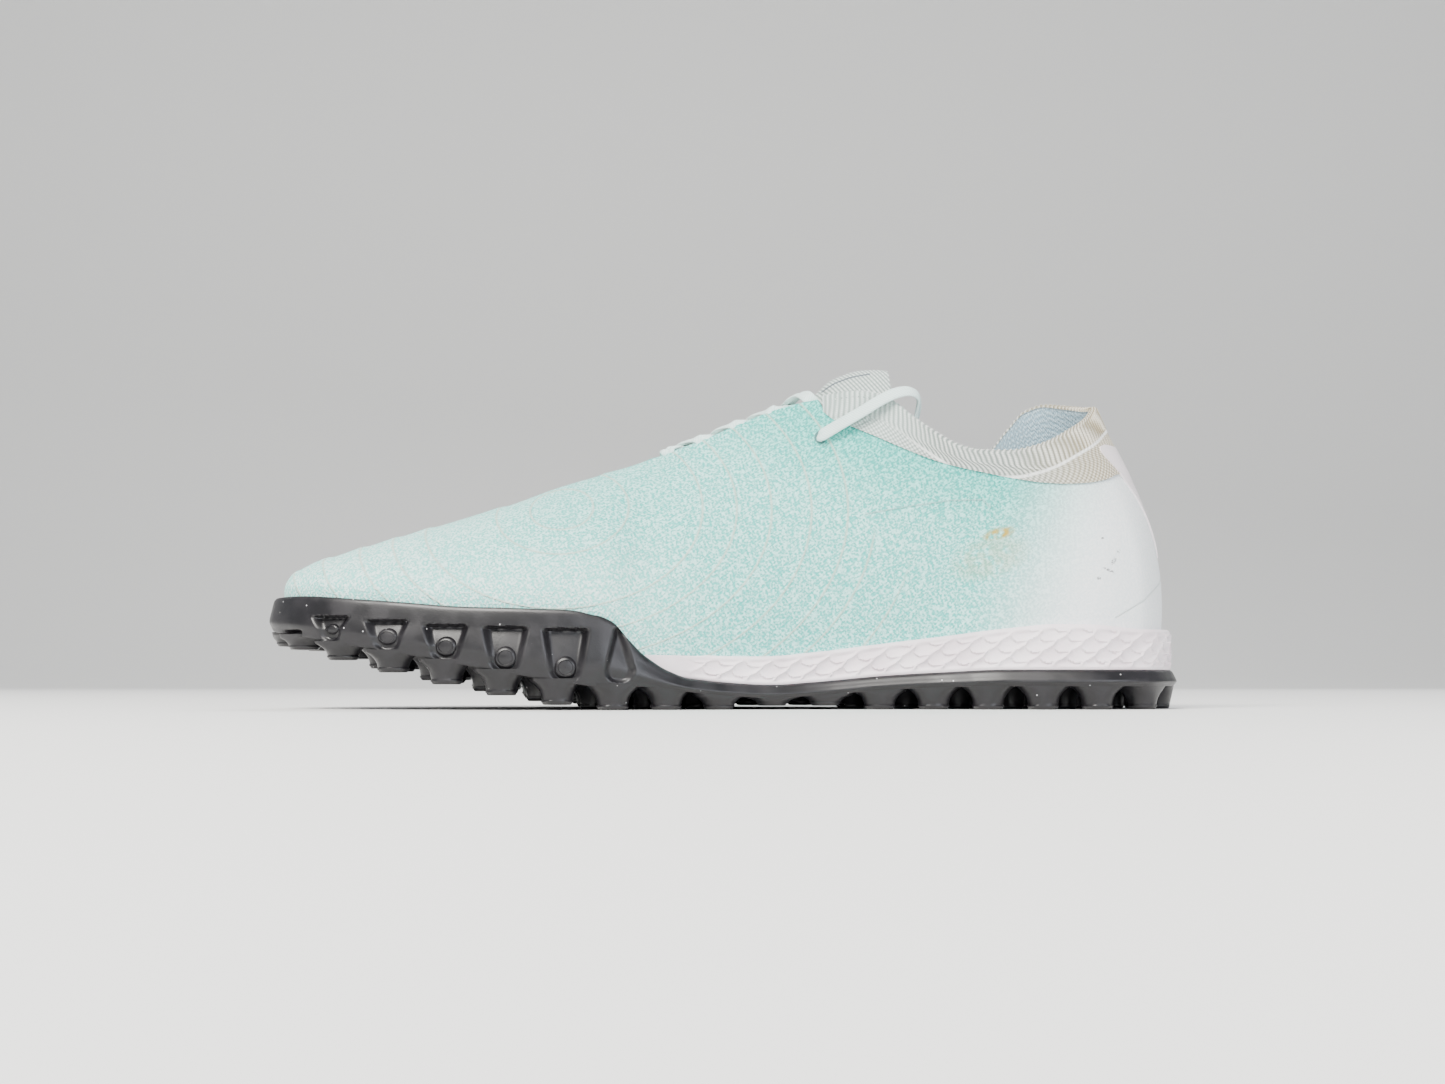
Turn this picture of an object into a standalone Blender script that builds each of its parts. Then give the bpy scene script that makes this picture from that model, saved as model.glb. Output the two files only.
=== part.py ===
"""Turf shoe for the right foot, seen in the photo from its inner side.

Frame: metres, +Z up, the toe points to -X, the inner (medial) side faces -Y, and the ground is z = 0
under the lugs, with the origin below the middle of the shoe.

The last is one function, skin(), built from the sole outline, the sole's heights and the line that
the top edge of the upper follows. Every soft piece is a patch of that skin with a wall.
Tables hold shares of the named sizes. Their first column, u, runs from the toe (0) to the heel (1).
"""

import math

import bmesh
import bpy
import numpy as np

MM = 0.001

# Overall sizes of the shoe
LENGTH = 290 * MM
BALL_WIDTH = 99 * MM
INSTEP_HEIGHT = 98 * MM
HEEL_HEIGHT = 96.7 * MM
TONGUE_HEIGHT = 110 * MM

# Sole
TOE_SPRING = 22 * MM
LUG_HEIGHT = 7.2 * MM
SLAB_THICKNESS = 4.8 * MM
RAND_HEIGHT = 20 * MM
RAND_WALL = 2.4 * MM
RAND_TOP_INSET = 1.8 * MM
RAND_BULGE_HEIGHT = 0.3
RAND_SHOULDER_HEIGHT = 0.6
RAND_SHOULDER_INSET = 0.45
TREAD_INSET = 1.2 * MM
FOAM_HEIGHT = 14.3 * MM
FOAM_EDGE = 0.8 * MM
FOAM_FOOT = 0.3 * MM
FOAM_FLUSH_FROM = 0.466
FOAM_FLUSH_RUN = 0.05
INSOLE_THICKNESS = 3 * MM

# Lugs and rand pockets
LUG_PITCH = 16.6 * MM
LUG_ROW = 12.6 * MM
LUG_ROOT = 5.6 * MM
LUG_TIP = 4.1 * MM
LUG_BEVEL = 0.9 * MM
LUG_SINK = 1.0 * MM
LUG_CLEAR = 0.2 * MM
LUG_ROWS = 4
LUG_EDGE_SLACK = 0.4 * MM
LUG_SIDES = 6
EDGE_LUG_INSET = 6.9 * MM
EDGE_LUG_ROOT = 6.9 * MM
EDGE_LUG_TIP = 4.7 * MM
EDGE_LUG_SIDES = 8
WAIST_LUG_LIFT = 1.2 * MM
WAIST_START = 0.50
WAIST_END = 0.63
POCKET_TOP_LENGTH = 11.5 * MM
POCKET_FOOT_LENGTH = 7.6 * MM
POCKET_DEPTH = 2.4 * MM
POCKET_PITCH = 18.2 * MM
POCKET_START = 0.084
POCKET_COUNT = 5
POCKET_BAND = 5.5 * MM
POCKET_LEDGE = 1.6 * MM
POCKET_MOUTH = 3 * MM
POCKET_FLOOR = 0.72
POCKET_FOOT_DEPTH = 0.6
BUTTON_RADIUS = 2.9 * MM
BUTTON_SIDES = 8
BUTTON_TAPER = 0.85
BUTTON_BEVEL = 0.4 * MM
BUTTON_SINK = 1.0 * MM

# Soft pieces
UPPER_WALL = 2.0 * MM
CUFF_WALL = 2.8 * MM
CUFF_PROUD = 0.5 * MM
TONGUE_WALL = 2.4 * MM
STRIP_WALL = 0.9 * MM
STRIP_WIDTH = 19 * MM
STRIP_FOOT = 0.50
STRIP_TOP = 0.865
STRIP_FOOT_WIDTH = 0.5
STRIP_ROWS = 9
STRIP_COLUMNS = 4
STRIP_STEP = 0.04
GAP = 0.3 * MM
TONGUE_OFFSET = CUFF_WALL - CUFF_PROUD + 1.5 * GAP

# Lace
LACE_WIDTH = 4.2 * MM
LACE_THICKNESS = 1.8 * MM
LACE_SIDES = 6
LACE_SAG = 0.3 * MM
LACE_CLEAR = 1.2 * MM
CROSSING_POINTS = 9
CORD_DIAMETER = 2.6 * MM
CURVE_STEPS = 12

# Sampling of the skin
STATIONS = 38
END_CROWDING = 0.85
OUTLINE_SAMPLES = 240
LEVEL_SAMPLES = 61
HEEL_SAMPLES = 40
HEEL_REACH = 0.9
FEATHER_CLEAR = 1.5 * MM
UPPER_LEVELS = 8
CUFF_LEVELS = 3
THROAT_FRONT = 0.425
CUFF_FRONT = 0.612
TONGUE_FRONT = 0.395
TONGUE_BACK = 0.688
FLAP_LEVELS = (0.70, 0.84, 0.96)
BRIDGE_POINTS = 6
BRIDGE_ROUNDNESS = 0.9


def table(names, *rows):
    """Columns of a table by name, each an array."""
    return dict(zip(names.split(), np.array(rows, float).T))


# Half widths of the sole on the inner and outer side, in shares of BALL_WIDTH
OUTLINE = table(
    "u     inner   outer",
    (0.000, 0.080, -0.080),
    (0.020, 0.240, 0.085),
    (0.050, 0.328, 0.205),
    (0.100, 0.404, 0.318),
    (0.180, 0.455, 0.415),
    (0.280, 0.480, 0.485),
    (0.370, 0.465, 0.520),
    (0.450, 0.396, 0.508),
    (0.540, 0.328, 0.468),
    (0.620, 0.298, 0.430),
    (0.700, 0.303, 0.396),
    (0.800, 0.336, 0.372),
    (0.880, 0.346, 0.358),
    (0.950, 0.288, 0.298),
    (0.985, 0.166, 0.172),
    (1.000, 0.000, 0.000),
)

# Heights of the sole: spring in TOE_SPRING, lug in LUG_HEIGHT, slab in SLAB_THICKNESS,
# lip (the rand above the slab) in RAND_HEIGHT, foam in FOAM_HEIGHT
SOLE = table(
    "u     spring lug   slab  lip    foam",
    (0.000, 1.000, 0.45, 0.70, 0.290, 0.20),
    (0.050, 0.834, 0.56, 0.70, 0.440, 0.30),
    (0.120, 0.613, 0.76, 0.75, 0.530, 0.32),
    (0.200, 0.378, 0.95, 0.80, 0.615, 0.32),
    (0.300, 0.125, 1.00, 0.80, 0.820, 0.35),
    (0.345, 0.034, 1.00, 0.80, 0.890, 0.39),
    (0.366, 0.000, 1.00, 0.80, 0.860, 0.41),
    (0.384, 0.000, 1.00, 0.80, 0.765, 0.42),
    (0.402, 0.000, 0.99, 0.80, 0.495, 0.43),
    (0.420, 0.000, 0.97, 0.80, 0.250, 0.45),
    (0.443, 0.000, 0.86, 0.80, 0.075, 0.50),
    (0.466, 0.000, 0.74, 0.80, 0.000, 0.55),
    (0.500, 0.000, 0.60, 0.78, 0.000, 0.59),
    (0.550, 0.000, 0.51, 0.76, 0.000, 0.64),
    (0.600, 0.000, 0.60, 0.82, 0.000, 0.67),
    (0.660, 0.000, 0.80, 0.86, 0.000, 0.71),
    (0.720, 0.000, 0.93, 0.90, 0.000, 0.78),
    (0.800, 0.000, 1.00, 1.00, 0.000, 0.91),
    (0.850, 0.000, 1.00, 1.00, 0.000, 1.00),
    (0.890, 0.000, 1.00, 1.00, 0.000, 0.99),
    (0.950, 0.000, 1.00, 1.00, 0.000, 0.90),
    (1.000, 0.000, 1.00, 1.00, 0.000, 0.92),
)

# Top line of the vamp up to the throat's top: top is its place along the shoe, y in BALL_WIDTH,
# height in INSTEP_HEIGHT
VAMP_EDGE = table(
    "u     top    inner   outer   height height_outer",
    (0.000, 0.125, -0.060, -0.060, 0.538, 0.538),
    (0.020, 0.135, -0.058, -0.058, 0.548, 0.548),
    (0.050, 0.150, -0.054, -0.054, 0.564, 0.564),
    (0.100, 0.178, -0.048, -0.048, 0.590, 0.590),
    (0.170, 0.218, -0.040, -0.040, 0.625, 0.625),
    (0.250, 0.272, -0.030, -0.030, 0.676, 0.676),
    (0.330, 0.336, -0.020, -0.020, 0.745, 0.745),
    (0.400, 0.401, -0.006, -0.006, 0.806, 0.806),
    (0.425, 0.425, 0.000, 0.000, 0.832, 0.832),
    (0.442, 0.442, -0.032, 0.078, 0.848, 0.840),
    (0.470, 0.470, -0.050, 0.126, 0.876, 0.856),
    (0.520, 0.520, -0.062, 0.154, 0.938, 0.910),
    (0.560, 0.560, -0.076, 0.172, 0.982, 0.952),
    (0.590, 0.588, -0.098, 0.188, 1.001, 0.976),
)

# Rim of the collar, heights in HEEL_HEIGHT
RIM_EDGE = table(
    "u     top    inner   outer   height height_outer",
    (0.620, 0.615, -0.136, 0.202, 1.024, 1.004),
    (0.645, 0.640, -0.174, 0.212, 1.030, 1.020),
    (0.670, 0.664, -0.204, 0.222, 1.018, 1.020),
    (0.690, 0.684, -0.228, 0.232, 0.985, 1.000),
    (0.710, 0.704, -0.243, 0.250, 0.936, 0.955),
    (0.735, 0.727, -0.262, 0.270, 0.884, 0.912),
    (0.760, 0.750, -0.277, 0.287, 0.842, 0.884),
    (0.785, 0.774, -0.285, 0.298, 0.823, 0.868),
    (0.820, 0.806, -0.283, 0.298, 0.821, 0.880),
    (0.850, 0.830, -0.272, 0.288, 0.834, 0.955),
    (0.880, 0.852, -0.250, 0.266, 0.858, 1.022),
    (0.910, 0.873, -0.220, 0.236, 0.893, 1.040),
    (0.940, 0.891, -0.174, 0.186, 0.926, 1.030),
    (0.965, 0.903, -0.120, 0.126, 0.955, 1.018),
    (0.985, 0.912, -0.060, 0.063, 0.985, 1.006),
    (1.000, 0.9165, 0.000, 0.000, 1.000, 1.000),
)

# Lower edge of the ribbed cuff, in HEEL_HEIGHT
CUFF_LINE = table(
    "u     height",
    (0.600, 1.020),
    (0.612, 0.978),
    (0.625, 0.945),
    (0.645, 0.915),
    (0.670, 0.880),
    (0.690, 0.850),
    (0.710, 0.824),
    (0.735, 0.797),
    (0.760, 0.777),
    (0.785, 0.760),
    (0.820, 0.740),
    (0.850, 0.728),
    (0.880, 0.724),
    (0.910, 0.728),
    (0.940, 0.742),
    (0.970, 0.766),
    (1.000, 0.784),
)

# How a section rises from the feather line to the top edge: rise, spread and drop are shares of the
# section's height, width and height, and the bulges are in BALL_WIDTH
SWELL = table(
    "u    rise  spread drop  bulge_in bulge_out",
    (0.00, 0.60, 0.52, 0.31, 0.004, 0.004),
    (0.02, 0.58, 0.52, 0.30, 0.004, 0.004),
    (0.05, 0.54, 0.54, 0.25, 0.004, 0.004),
    (0.10, 0.50, 0.55, 0.17, 0.005, 0.005),
    (0.17, 0.50, 0.53, 0.09, 0.005, 0.006),
    (0.25, 0.50, 0.50, 0.05, 0.006, 0.008),
    (0.40, 0.50, 0.42, 0.10, 0.018, 0.012),
    (0.50, 0.48, 0.36, 0.18, 0.050, 0.016),
    (0.60, 0.45, 0.32, 0.25, 0.075, 0.020),
    (0.70, 0.42, 0.32, 0.28, 0.065, 0.030),
    (0.80, 0.42, 0.35, 0.30, 0.040, 0.034),
    (0.90, 0.44, 0.40, 0.30, 0.030, 0.030),
    (1.00, 0.46, 0.44, 0.30, 0.022, 0.022),
)

# Ridge of the tongue, in TONGUE_HEIGHT
TONGUE_RIDGE = table(
    "u     height",
    (0.395, 0.684),
    (0.425, 0.712),
    (0.442, 0.735),
    (0.470, 0.764),
    (0.520, 0.822),
    (0.560, 0.862),
    (0.590, 0.905),
    (0.612, 0.950),
    (0.635, 0.982),
    (0.655, 0.997),
    (0.675, 1.000),
    (0.688, 0.996),
)

# Eyelet rows by their place along the shoe and their height on the side, as a share of the skin
EYELETS = table(
    "u     level",
    (0.437, 0.930),
    (0.476, 0.930),
    (0.515, 0.930),
    (0.556, 0.920),
    (0.600, 0.840),
)

# Route of the free lace from the top eyelet over the cuff's front and down inside, in millimetres
LACE_ROUTE = (
    (31.0, -20.2, 86.6),
    (34.5, -21.4, 88.6),
    (38.5, -23.2, 90.8),
    (43.5, -24.6, 93.6),
    (48.5, -25.4, 96.6),
    (53.0, -25.6, 98.8),
    (57.5, -24.6, 99.8),
    (60.6, -22.4, 98.8),
    (61.4, -20.0, 96.2),
    (60.8, -18.6, 92.4),
    (59.6, -18.2, 88.2),
    (58.6, -18.4, 83.8),
    (57.8, -18.6, 79.4),
)

INNER = -1
OUTER = 1


def angle(u):
    """The table's place along the shoe as an angle, so that round ends stay round."""
    return np.arccos(1 - 2 * np.clip(np.asarray(u, float), 0, 1))


def read(rows, name, u):
    """A column read at u through a smooth curve that never overshoots its rows."""
    x = angle(rows["u"])
    y = rows[name]
    at = np.clip(angle(u), x[0], x[-1])
    step = np.diff(x)
    slope = np.diff(y) / step
    tangent = np.zeros_like(y)
    tangent[0] = slope[0]
    tangent[-1] = slope[-1]
    rising = slope[:-1] * slope[1:] > 0
    before = slope[:-1][rising]
    after = slope[1:][rising]
    tangent[1:-1][rising] = 2 * before * after / (before + after)
    i = np.clip(np.searchsorted(x, at, side="right") - 1, 0, len(step) - 1)
    t = (at - x[i]) / step[i]
    start = (1 + 2 * t) * (1 - t) ** 2 * y[i] + t * (1 - t) ** 2 * step[i] * tangent[i]
    end = t * t * (3 - 2 * t) * y[i + 1] + t * t * (t - 1) * step[i] * tangent[i + 1]
    return start + end


def side_of(side):
    return "inner" if side == INNER else "outer"


CENTRE_Y = (OUTLINE["outer"].max() - OUTLINE["inner"].max()) / 2 * BALL_WIDTH


def outline(side, u, inset=0.0):
    """Plan points of the sole's edge, moved inwards by inset."""
    turn = angle(u)
    small = 1e-3

    def at(a):
        share = (1 - np.cos(a)) / 2
        x = (share - 0.5) * LENGTH
        y = side * read(OUTLINE, side_of(side), share) * BALL_WIDTH - CENTRE_Y
        return x, y

    x, y = at(turn)
    ahead_x, ahead_y = at(np.minimum(turn + small, math.pi))
    back_x, back_y = at(np.maximum(turn - small, 0))
    along_x = np.where((turn <= 0) | (turn >= math.pi), 0, ahead_x - back_x)
    along_y = ahead_y - back_y
    run = np.hypot(along_x, along_y)
    return x - inset * side * -along_y / run, y - inset * side * along_x / run


def spring(u):
    return read(SOLE, "spring", u) * TOE_SPRING


def tread(u):
    """Underside of the slab, where the lugs start."""
    return spring(u) + read(SOLE, "lug", u) * LUG_HEIGHT


def slab_top(u):
    return tread(u) + read(SOLE, "slab", u) * SLAB_THICKNESS


def rand_top(u):
    return slab_top(u) + read(SOLE, "lip", u) * RAND_HEIGHT


def foam_top(u):
    return slab_top(u) + read(SOLE, "foam", u) * FOAM_HEIGHT


UPPER_INSET = RAND_TOP_INSET + RAND_WALL + GAP


def foam_inset(u):
    """The foam hides inside the rand, then comes out flush with the rubber behind it."""
    share = np.clip((np.asarray(u, float) - FOAM_FLUSH_FROM) / FOAM_FLUSH_RUN, 0, 1)
    share = share * share * (3 - 2 * share)
    return UPPER_INSET + (RAND_TOP_INSET - UPPER_INSET) * share


def top_edge(side, u):
    """The line that the sections rise to: the vamp's ridge, the throat's edge and the collar's rim."""
    rows = {}
    for name in VAMP_EDGE:
        rows[name] = np.concatenate([VAMP_EDGE[name], RIM_EDGE[name]])
    count = len(VAMP_EDGE["u"])
    height = "height" if side == INNER else "height_outer"
    rows[height] = rows[height].copy()
    rows[height][:count] *= INSTEP_HEIGHT
    rows[height][count:] *= HEEL_HEIGHT
    x = (read(rows, "top", u) - 0.5) * LENGTH
    y = read(rows, side_of(side), u) * BALL_WIDTH - CENTRE_Y
    return x, y, read(rows, height, u)


def skin(side, u, level):
    """A point of the last. level runs from -1, the feather line, over 0, where the rand or the foam
    ends, to 1, the top edge."""
    u, level = np.broadcast_arrays(np.asarray(u, float), np.asarray(level, float))
    foot_x, foot_y = outline(side, u, UPPER_INSET)
    foot_z = foam_top(u) + GAP
    start_z = np.maximum(rand_top(u), foam_top(u)) + FEATHER_CLEAR
    top_x, top_y, top_z = top_edge(side, u)
    height = top_z - start_z
    out_x = foot_x - top_x
    out_y = foot_y - top_y
    width = np.hypot(out_x, out_y)
    bulge_name = "bulge_in" if side == INNER else "bulge_out"
    bulge = read(SWELL, bulge_name, u) * BALL_WIDTH / width
    rise = read(SWELL, "rise", u) * height
    spread = read(SWELL, "spread", u)
    drop = read(SWELL, "drop", u) * height
    t = np.clip(level, 0, 1)
    w0 = (1 - t) ** 3
    w1 = 3 * t * (1 - t) ** 2
    w2 = 3 * t * t * (1 - t)
    w3 = t ** 3
    x = foot_x * (w0 + w1) + out_x * bulge * w1 + (top_x + out_x * spread) * w2 + top_x * w3
    y = foot_y * (w0 + w1) + out_y * bulge * w1 + (top_y + out_y * spread) * w2 + top_y * w3
    z = start_z * w0 + (start_z + rise) * w1 + (top_z - drop) * w2 + top_z * w3
    below = np.clip(-level, 0, 1)
    z = z + (foot_z - start_z) * below
    return np.stack([x, y, z], axis=-1)


def skin_normal(side, u, level):
    """Outward unit normal of the last."""
    small = 2e-3
    turn = angle(u)
    ahead = (1 - np.cos(np.minimum(turn + small, math.pi))) / 2
    back = (1 - np.cos(np.maximum(turn - small, 0))) / 2
    low = np.maximum(np.asarray(level, float) - small, -1)
    high = np.minimum(np.asarray(level, float) + small, 1)
    along = skin(side, ahead, level) - skin(side, back, level)
    upward = skin(side, u, high) - skin(side, u, low)
    normal = np.cross(along, upward) * -side
    return normal / np.linalg.norm(normal, axis=-1, keepdims=True)


def raised(side, u, level, offset):
    """A point offset from the last, outwards where offset is positive."""
    return skin(side, u, level) + offset * skin_normal(side, u, level)


def level_at_height(side, u, height):
    """The level at which a section reaches a height."""
    levels = np.linspace(0, 1, LEVEL_SAMPLES)
    found = []
    for one_u, one_height in zip(np.atleast_1d(u), np.atleast_1d(height)):
        z = skin(side, one_u, levels)[:, 2]
        reach = min(one_height, z.max())
        found.append(np.interp(reach, z[: z.argmax() + 1], levels[: z.argmax() + 1]))
    return np.array(found)


def stations():
    """Places along the shoe, closer at the round ends, with the throat's and the cuff's front on them."""
    share = np.linspace(0, 1, STATIONS + 1)
    u = END_CROWDING * (1 - np.cos(math.pi * share)) / 2 + (1 - END_CROWDING) * share
    for place in (THROAT_FRONT, CUFF_FRONT):
        u[np.abs(u - place).argmin()] = place
    return u


def material(name, colour, roughness, metallic=0.0):
    made = bpy.data.materials.new(name)
    made.use_nodes = True
    shader = made.node_tree.nodes["Principled BSDF"]
    shader.inputs["Base Color"].default_value = (*colour, 1.0)
    shader.inputs["Roughness"].default_value = roughness
    shader.inputs["Metallic"].default_value = metallic
    return made


def new_object(name, points, faces, collection):
    mesh = bpy.data.meshes.new(name)
    mesh.from_pydata([tuple(map(float, p)) for p in points], [], faces)
    made = bpy.data.objects.new(name, mesh)
    collection.objects.link(made)
    return made


def clean(made, merge=1e-6):
    """Weld doubled points, drop collapsed faces and turn the faces outwards."""
    bm = bmesh.new()
    bm.from_mesh(made.data)
    bmesh.ops.remove_doubles(bm, verts=bm.verts, dist=merge)
    bmesh.ops.dissolve_degenerate(bm, edges=bm.edges, dist=merge)
    bmesh.ops.recalc_face_normals(bm, faces=bm.faces)
    bm.to_mesh(made.data)
    bm.free()


def grid_faces(rows, columns, closed=False):
    """Quads between rows of points; closed joins the last row to the first."""
    faces = []
    for i in range(rows if closed else rows - 1):
        after = (i + 1) % rows
        for j in range(columns - 1):
            faces.append(
                (i * columns + j, after * columns + j, after * columns + j + 1, i * columns + j + 1)
            )
    return faces


def sheet(name, points, wall, proud, collection, closed=False):
    """An open patch of points given a wall by Solidify, with proud of it outside the patch."""
    rows, columns = points.shape[:2]
    made = new_object(name, points.reshape(-1, 3), grid_faces(rows, columns, closed), collection)
    clean(made)
    solidify = made.modifiers.new("wall", "SOLIDIFY")
    solidify.thickness = wall
    solidify.offset = 2 * proud / wall - 1
    solidify.use_even_offset = False
    smooth(made)
    return made


def loft(name, sections, collection):
    """A solid through closed sections whose first and last one fold flat."""
    count, size = sections.shape[:2]
    faces = []
    for i in range(count - 1):
        for j in range(size):
            after = (j + 1) % size
            faces.append((i * size + j, (i + 1) * size + j, (i + 1) * size + after, i * size + after))
    made = new_object(name, sections.reshape(-1, 3), faces, collection)
    clean(made)
    smooth(made)
    return made


def smooth(made):
    made.data.shade_smooth()
    made.data.set_sharp_from_angle(angle=math.radians(40))


def boolean(target, cutter, operation):
    step = target.modifiers.new(operation.lower(), "BOOLEAN")
    step.operation = operation
    step.object = cutter
    step.solver = "EXACT"


def as_cutter(made):
    made.hide_render = True
    made.display_type = "WIRE"


def edge_point(side, u, inset, z):
    x, y = outline(side, u, inset)
    return np.array([float(x), float(y), float(z)])


def band_sections(places, edge):
    """Sections of a flat sole layer: edge gives (inset, z) upwards along its side."""
    sections = []
    for u in places:
        profile = edge(u)
        inner = [edge_point(INNER, u, inset, z) for inset, z in profile]
        outer = [edge_point(OUTER, u, inset, z) for inset, z in profile]
        sections.append(outer + inner[::-1])
    return np.array(sections)


def make_outsole_body(places, collection):
    def edge(u):
        low = tread(u)
        floor = slab_top(u)
        top = rand_top(u)
        widest = low + RAND_BULGE_HEIGHT * (top - low)
        shoulder = widest + RAND_SHOULDER_HEIGHT * (top - widest)
        inner_wall = RAND_TOP_INSET + RAND_WALL
        return (
            (TREAD_INSET, low),
            (0.0, widest),
            (RAND_TOP_INSET * RAND_SHOULDER_INSET, shoulder),
            (RAND_TOP_INSET, top),
            (inner_wall, top),
            (inner_wall, floor),
        )

    return loft("outsole", band_sections(places, edge), collection)


def lug_centres():
    """Rows of lugs that follow the outline, each row set half a pitch off the one outside it."""
    centres = []
    for row in range(LUG_ROWS):
        inset = EDGE_LUG_INSET + row * LUG_ROW
        ring = []
        for side, ordered in ((INNER, 1), (OUTER, -1)):
            u = (1 - np.cos(np.linspace(0, math.pi, OUTLINE_SAMPLES))) / 2
            x, y = outline(side, u, inset)
            ring += list(zip(x, y))[::ordered]
        path = np.array(ring)
        run = np.concatenate([[0], np.cumsum(np.linalg.norm(np.diff(path, axis=0), axis=1))])
        count = int(run[-1] / LUG_PITCH)
        for i in range(count):
            place = (i + 0.5 * (row % 2)) / count * run[-1]
            x = np.interp(place, run, path[:, 0])
            y = np.interp(place, run, path[:, 1])
            root = LUG_ROOT if row else EDGE_LUG_ROOT
            clear = all(math.hypot(x - a, y - b) >= root + c + LUG_CLEAR for a, b, c, _ in centres)
            if clear and inside(x, y, inset - LUG_EDGE_SLACK):
                centres.append((x, y, root, row))
    return centres


def inside(x, y, inset):
    """Whether a plan point is at least inset from the outline."""
    u = (1 - np.cos(np.linspace(0, math.pi, OUTLINE_SAMPLES))) / 2
    for side in (INNER, OUTER):
        edge_x, edge_y = outline(side, u)
        if np.hypot(edge_x - x, edge_y - y).min() < inset:
            return False
    return True


def add_stub(bm, base, tip, root_radius, tip_radius, bevel, sides):
    """A tapered stub from base to tip with a bevelled end."""
    axis = tip - base
    length = np.linalg.norm(axis)
    axis = axis / length
    helper = np.array([1.0, 0.0, 0.0]) if abs(axis[0]) < 0.9 else np.array([0.0, 1.0, 0.0])
    first = np.cross(axis, helper)
    first /= np.linalg.norm(first)
    second = np.cross(axis, first)
    rings = []
    for along, radius in ((0.0, root_radius), (length - bevel, tip_radius), (length, tip_radius - bevel)):
        ring = []
        for i in range(sides):
            turn = 2 * math.pi * (i + 0.5) / sides
            point = base + axis * along
            point = point + radius * (math.cos(turn) * first + math.sin(turn) * second)
            ring.append(bm.verts.new(point))
        rings.append(ring)
    for low, high in zip(rings, rings[1:]):
        for i in range(sides):
            after = (i + 1) % sides
            bm.faces.new((low[i], low[after], high[after], high[i]))
    bm.faces.new(rings[0][::-1])
    bm.faces.new(rings[-1])


def bmesh_object(name, bm, collection):
    bmesh.ops.recalc_face_normals(bm, faces=bm.faces)
    mesh = bpy.data.meshes.new(name)
    bm.to_mesh(mesh)
    bm.free()
    made = bpy.data.objects.new(name, mesh)
    collection.objects.link(made)
    return made


def make_lugs(collection):
    bm = bmesh.new()
    for x, y, root, row in lug_centres():
        u = x / LENGTH + 0.5
        waist = WAIST_START < u < WAIST_END
        low = float(spring(u)) + (WAIST_LUG_LIFT if waist else 0.0)
        high = float(tread(u)) + LUG_SINK
        tip = LUG_TIP if row else EDGE_LUG_TIP
        sides = LUG_SIDES if row else EDGE_LUG_SIDES
        add_stub(bm, np.array([x, y, high]), np.array([x, y, low]), root, tip, LUG_BEVEL, sides)
    made = bmesh_object("lugs", bm, collection)
    as_cutter(made)
    return made


def pocket_places():
    """Places of the rand's pockets, the same on both sides."""
    return [POCKET_START + i * POCKET_PITCH / LENGTH for i in range(POCKET_COUNT)]


def pocket_frame(side, u):
    """A point of the rand's edge, the outward direction there, and the pocket's lower and upper end."""
    x, y = outline(side, u)
    back_x, back_y = outline(side, u, MM)
    out = np.array([float(x - back_x), float(y - back_y), 0.0]) / MM
    top = float(rand_top(u)) - POCKET_BAND
    foot = float(tread(u)) + POCKET_LEDGE
    return np.array([float(x), float(y), 0.0]), out, foot, top


def make_pockets(collection):
    """Recesses that are wide and deep at the top and run out towards the tread."""
    bm = bmesh.new()
    for side in (INNER, OUTER):
        for u in pocket_places():
            centre, out, foot, top = pocket_frame(side, u)
            along = np.array([-out[1], out[0], 0.0])
            corners = []
            for z, length, depth in (
                (foot, POCKET_FOOT_LENGTH, POCKET_DEPTH * POCKET_FOOT_DEPTH),
                ((foot + top) / 2, (POCKET_FOOT_LENGTH + POCKET_TOP_LENGTH) / 2, POCKET_DEPTH),
                (top, POCKET_TOP_LENGTH, POCKET_DEPTH + RAND_TOP_INSET / 2),
            ):
                level = np.array([0.0, 0.0, z])
                floor = POCKET_FLOOR * length / 2
                mouth = length / 2
                for place, reach in (
                    (-mouth, POCKET_MOUTH),
                    (mouth, POCKET_MOUTH),
                    (floor, -depth),
                    (-floor, -depth),
                ):
                    corners.append(bm.verts.new(centre + level + along * place + out * reach))
            for low in (0, 4):
                for i in range(4):
                    after = (i + 1) % 4
                    bm.faces.new((corners[low + i], corners[low + after],
                                  corners[low + 4 + after], corners[low + 4 + i]))
            bm.faces.new(corners[:4][::-1])
            bm.faces.new(corners[8:])
    made = bmesh_object("pockets", bm, collection)
    as_cutter(made)
    return made


def make_buttons(collection):
    """A round button stands in each pocket."""
    bm = bmesh.new()
    for side in (INNER, OUTER):
        for u in pocket_places():
            centre, out, foot, top = pocket_frame(side, u)
            radius = min(BUTTON_RADIUS, 0.4 * (top - foot))
            middle = centre + np.array([0.0, 0.0, foot + radius])
            base = middle - out * (POCKET_DEPTH + BUTTON_SINK)
            tip = middle - out * BUTTON_BEVEL
            add_stub(bm, base, tip, radius, radius * BUTTON_TAPER, BUTTON_BEVEL, BUTTON_SIDES)
    made = bmesh_object("buttons", bm, collection)
    as_cutter(made)
    return made


def make_outsole(places, parts, cutters):
    outsole = make_outsole_body(places, parts)
    boolean(outsole, make_pockets(cutters), "DIFFERENCE")
    boolean(outsole, make_lugs(cutters), "UNION")
    boolean(outsole, make_buttons(cutters), "UNION")
    outsole.data.materials.append(material("black_rubber", (0.022, 0.021, 0.026), 0.5))
    return outsole


def make_midsole(places, parts):
    def edge(u):
        low = slab_top(u) + GAP
        high = foam_top(u)
        inset = float(foam_inset(u))
        return (
            (inset + FOAM_FOOT, low),
            (inset, low + (high - low) / 4),
            (inset, high - (high - low) / 4),
            (inset + FOAM_EDGE, high),
        )

    midsole = loft("midsole", band_sections(places, edge), parts)
    midsole.data.materials.append(material("moulded_foam", (0.82, 0.76, 0.78), 0.6))
    return midsole


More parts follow.
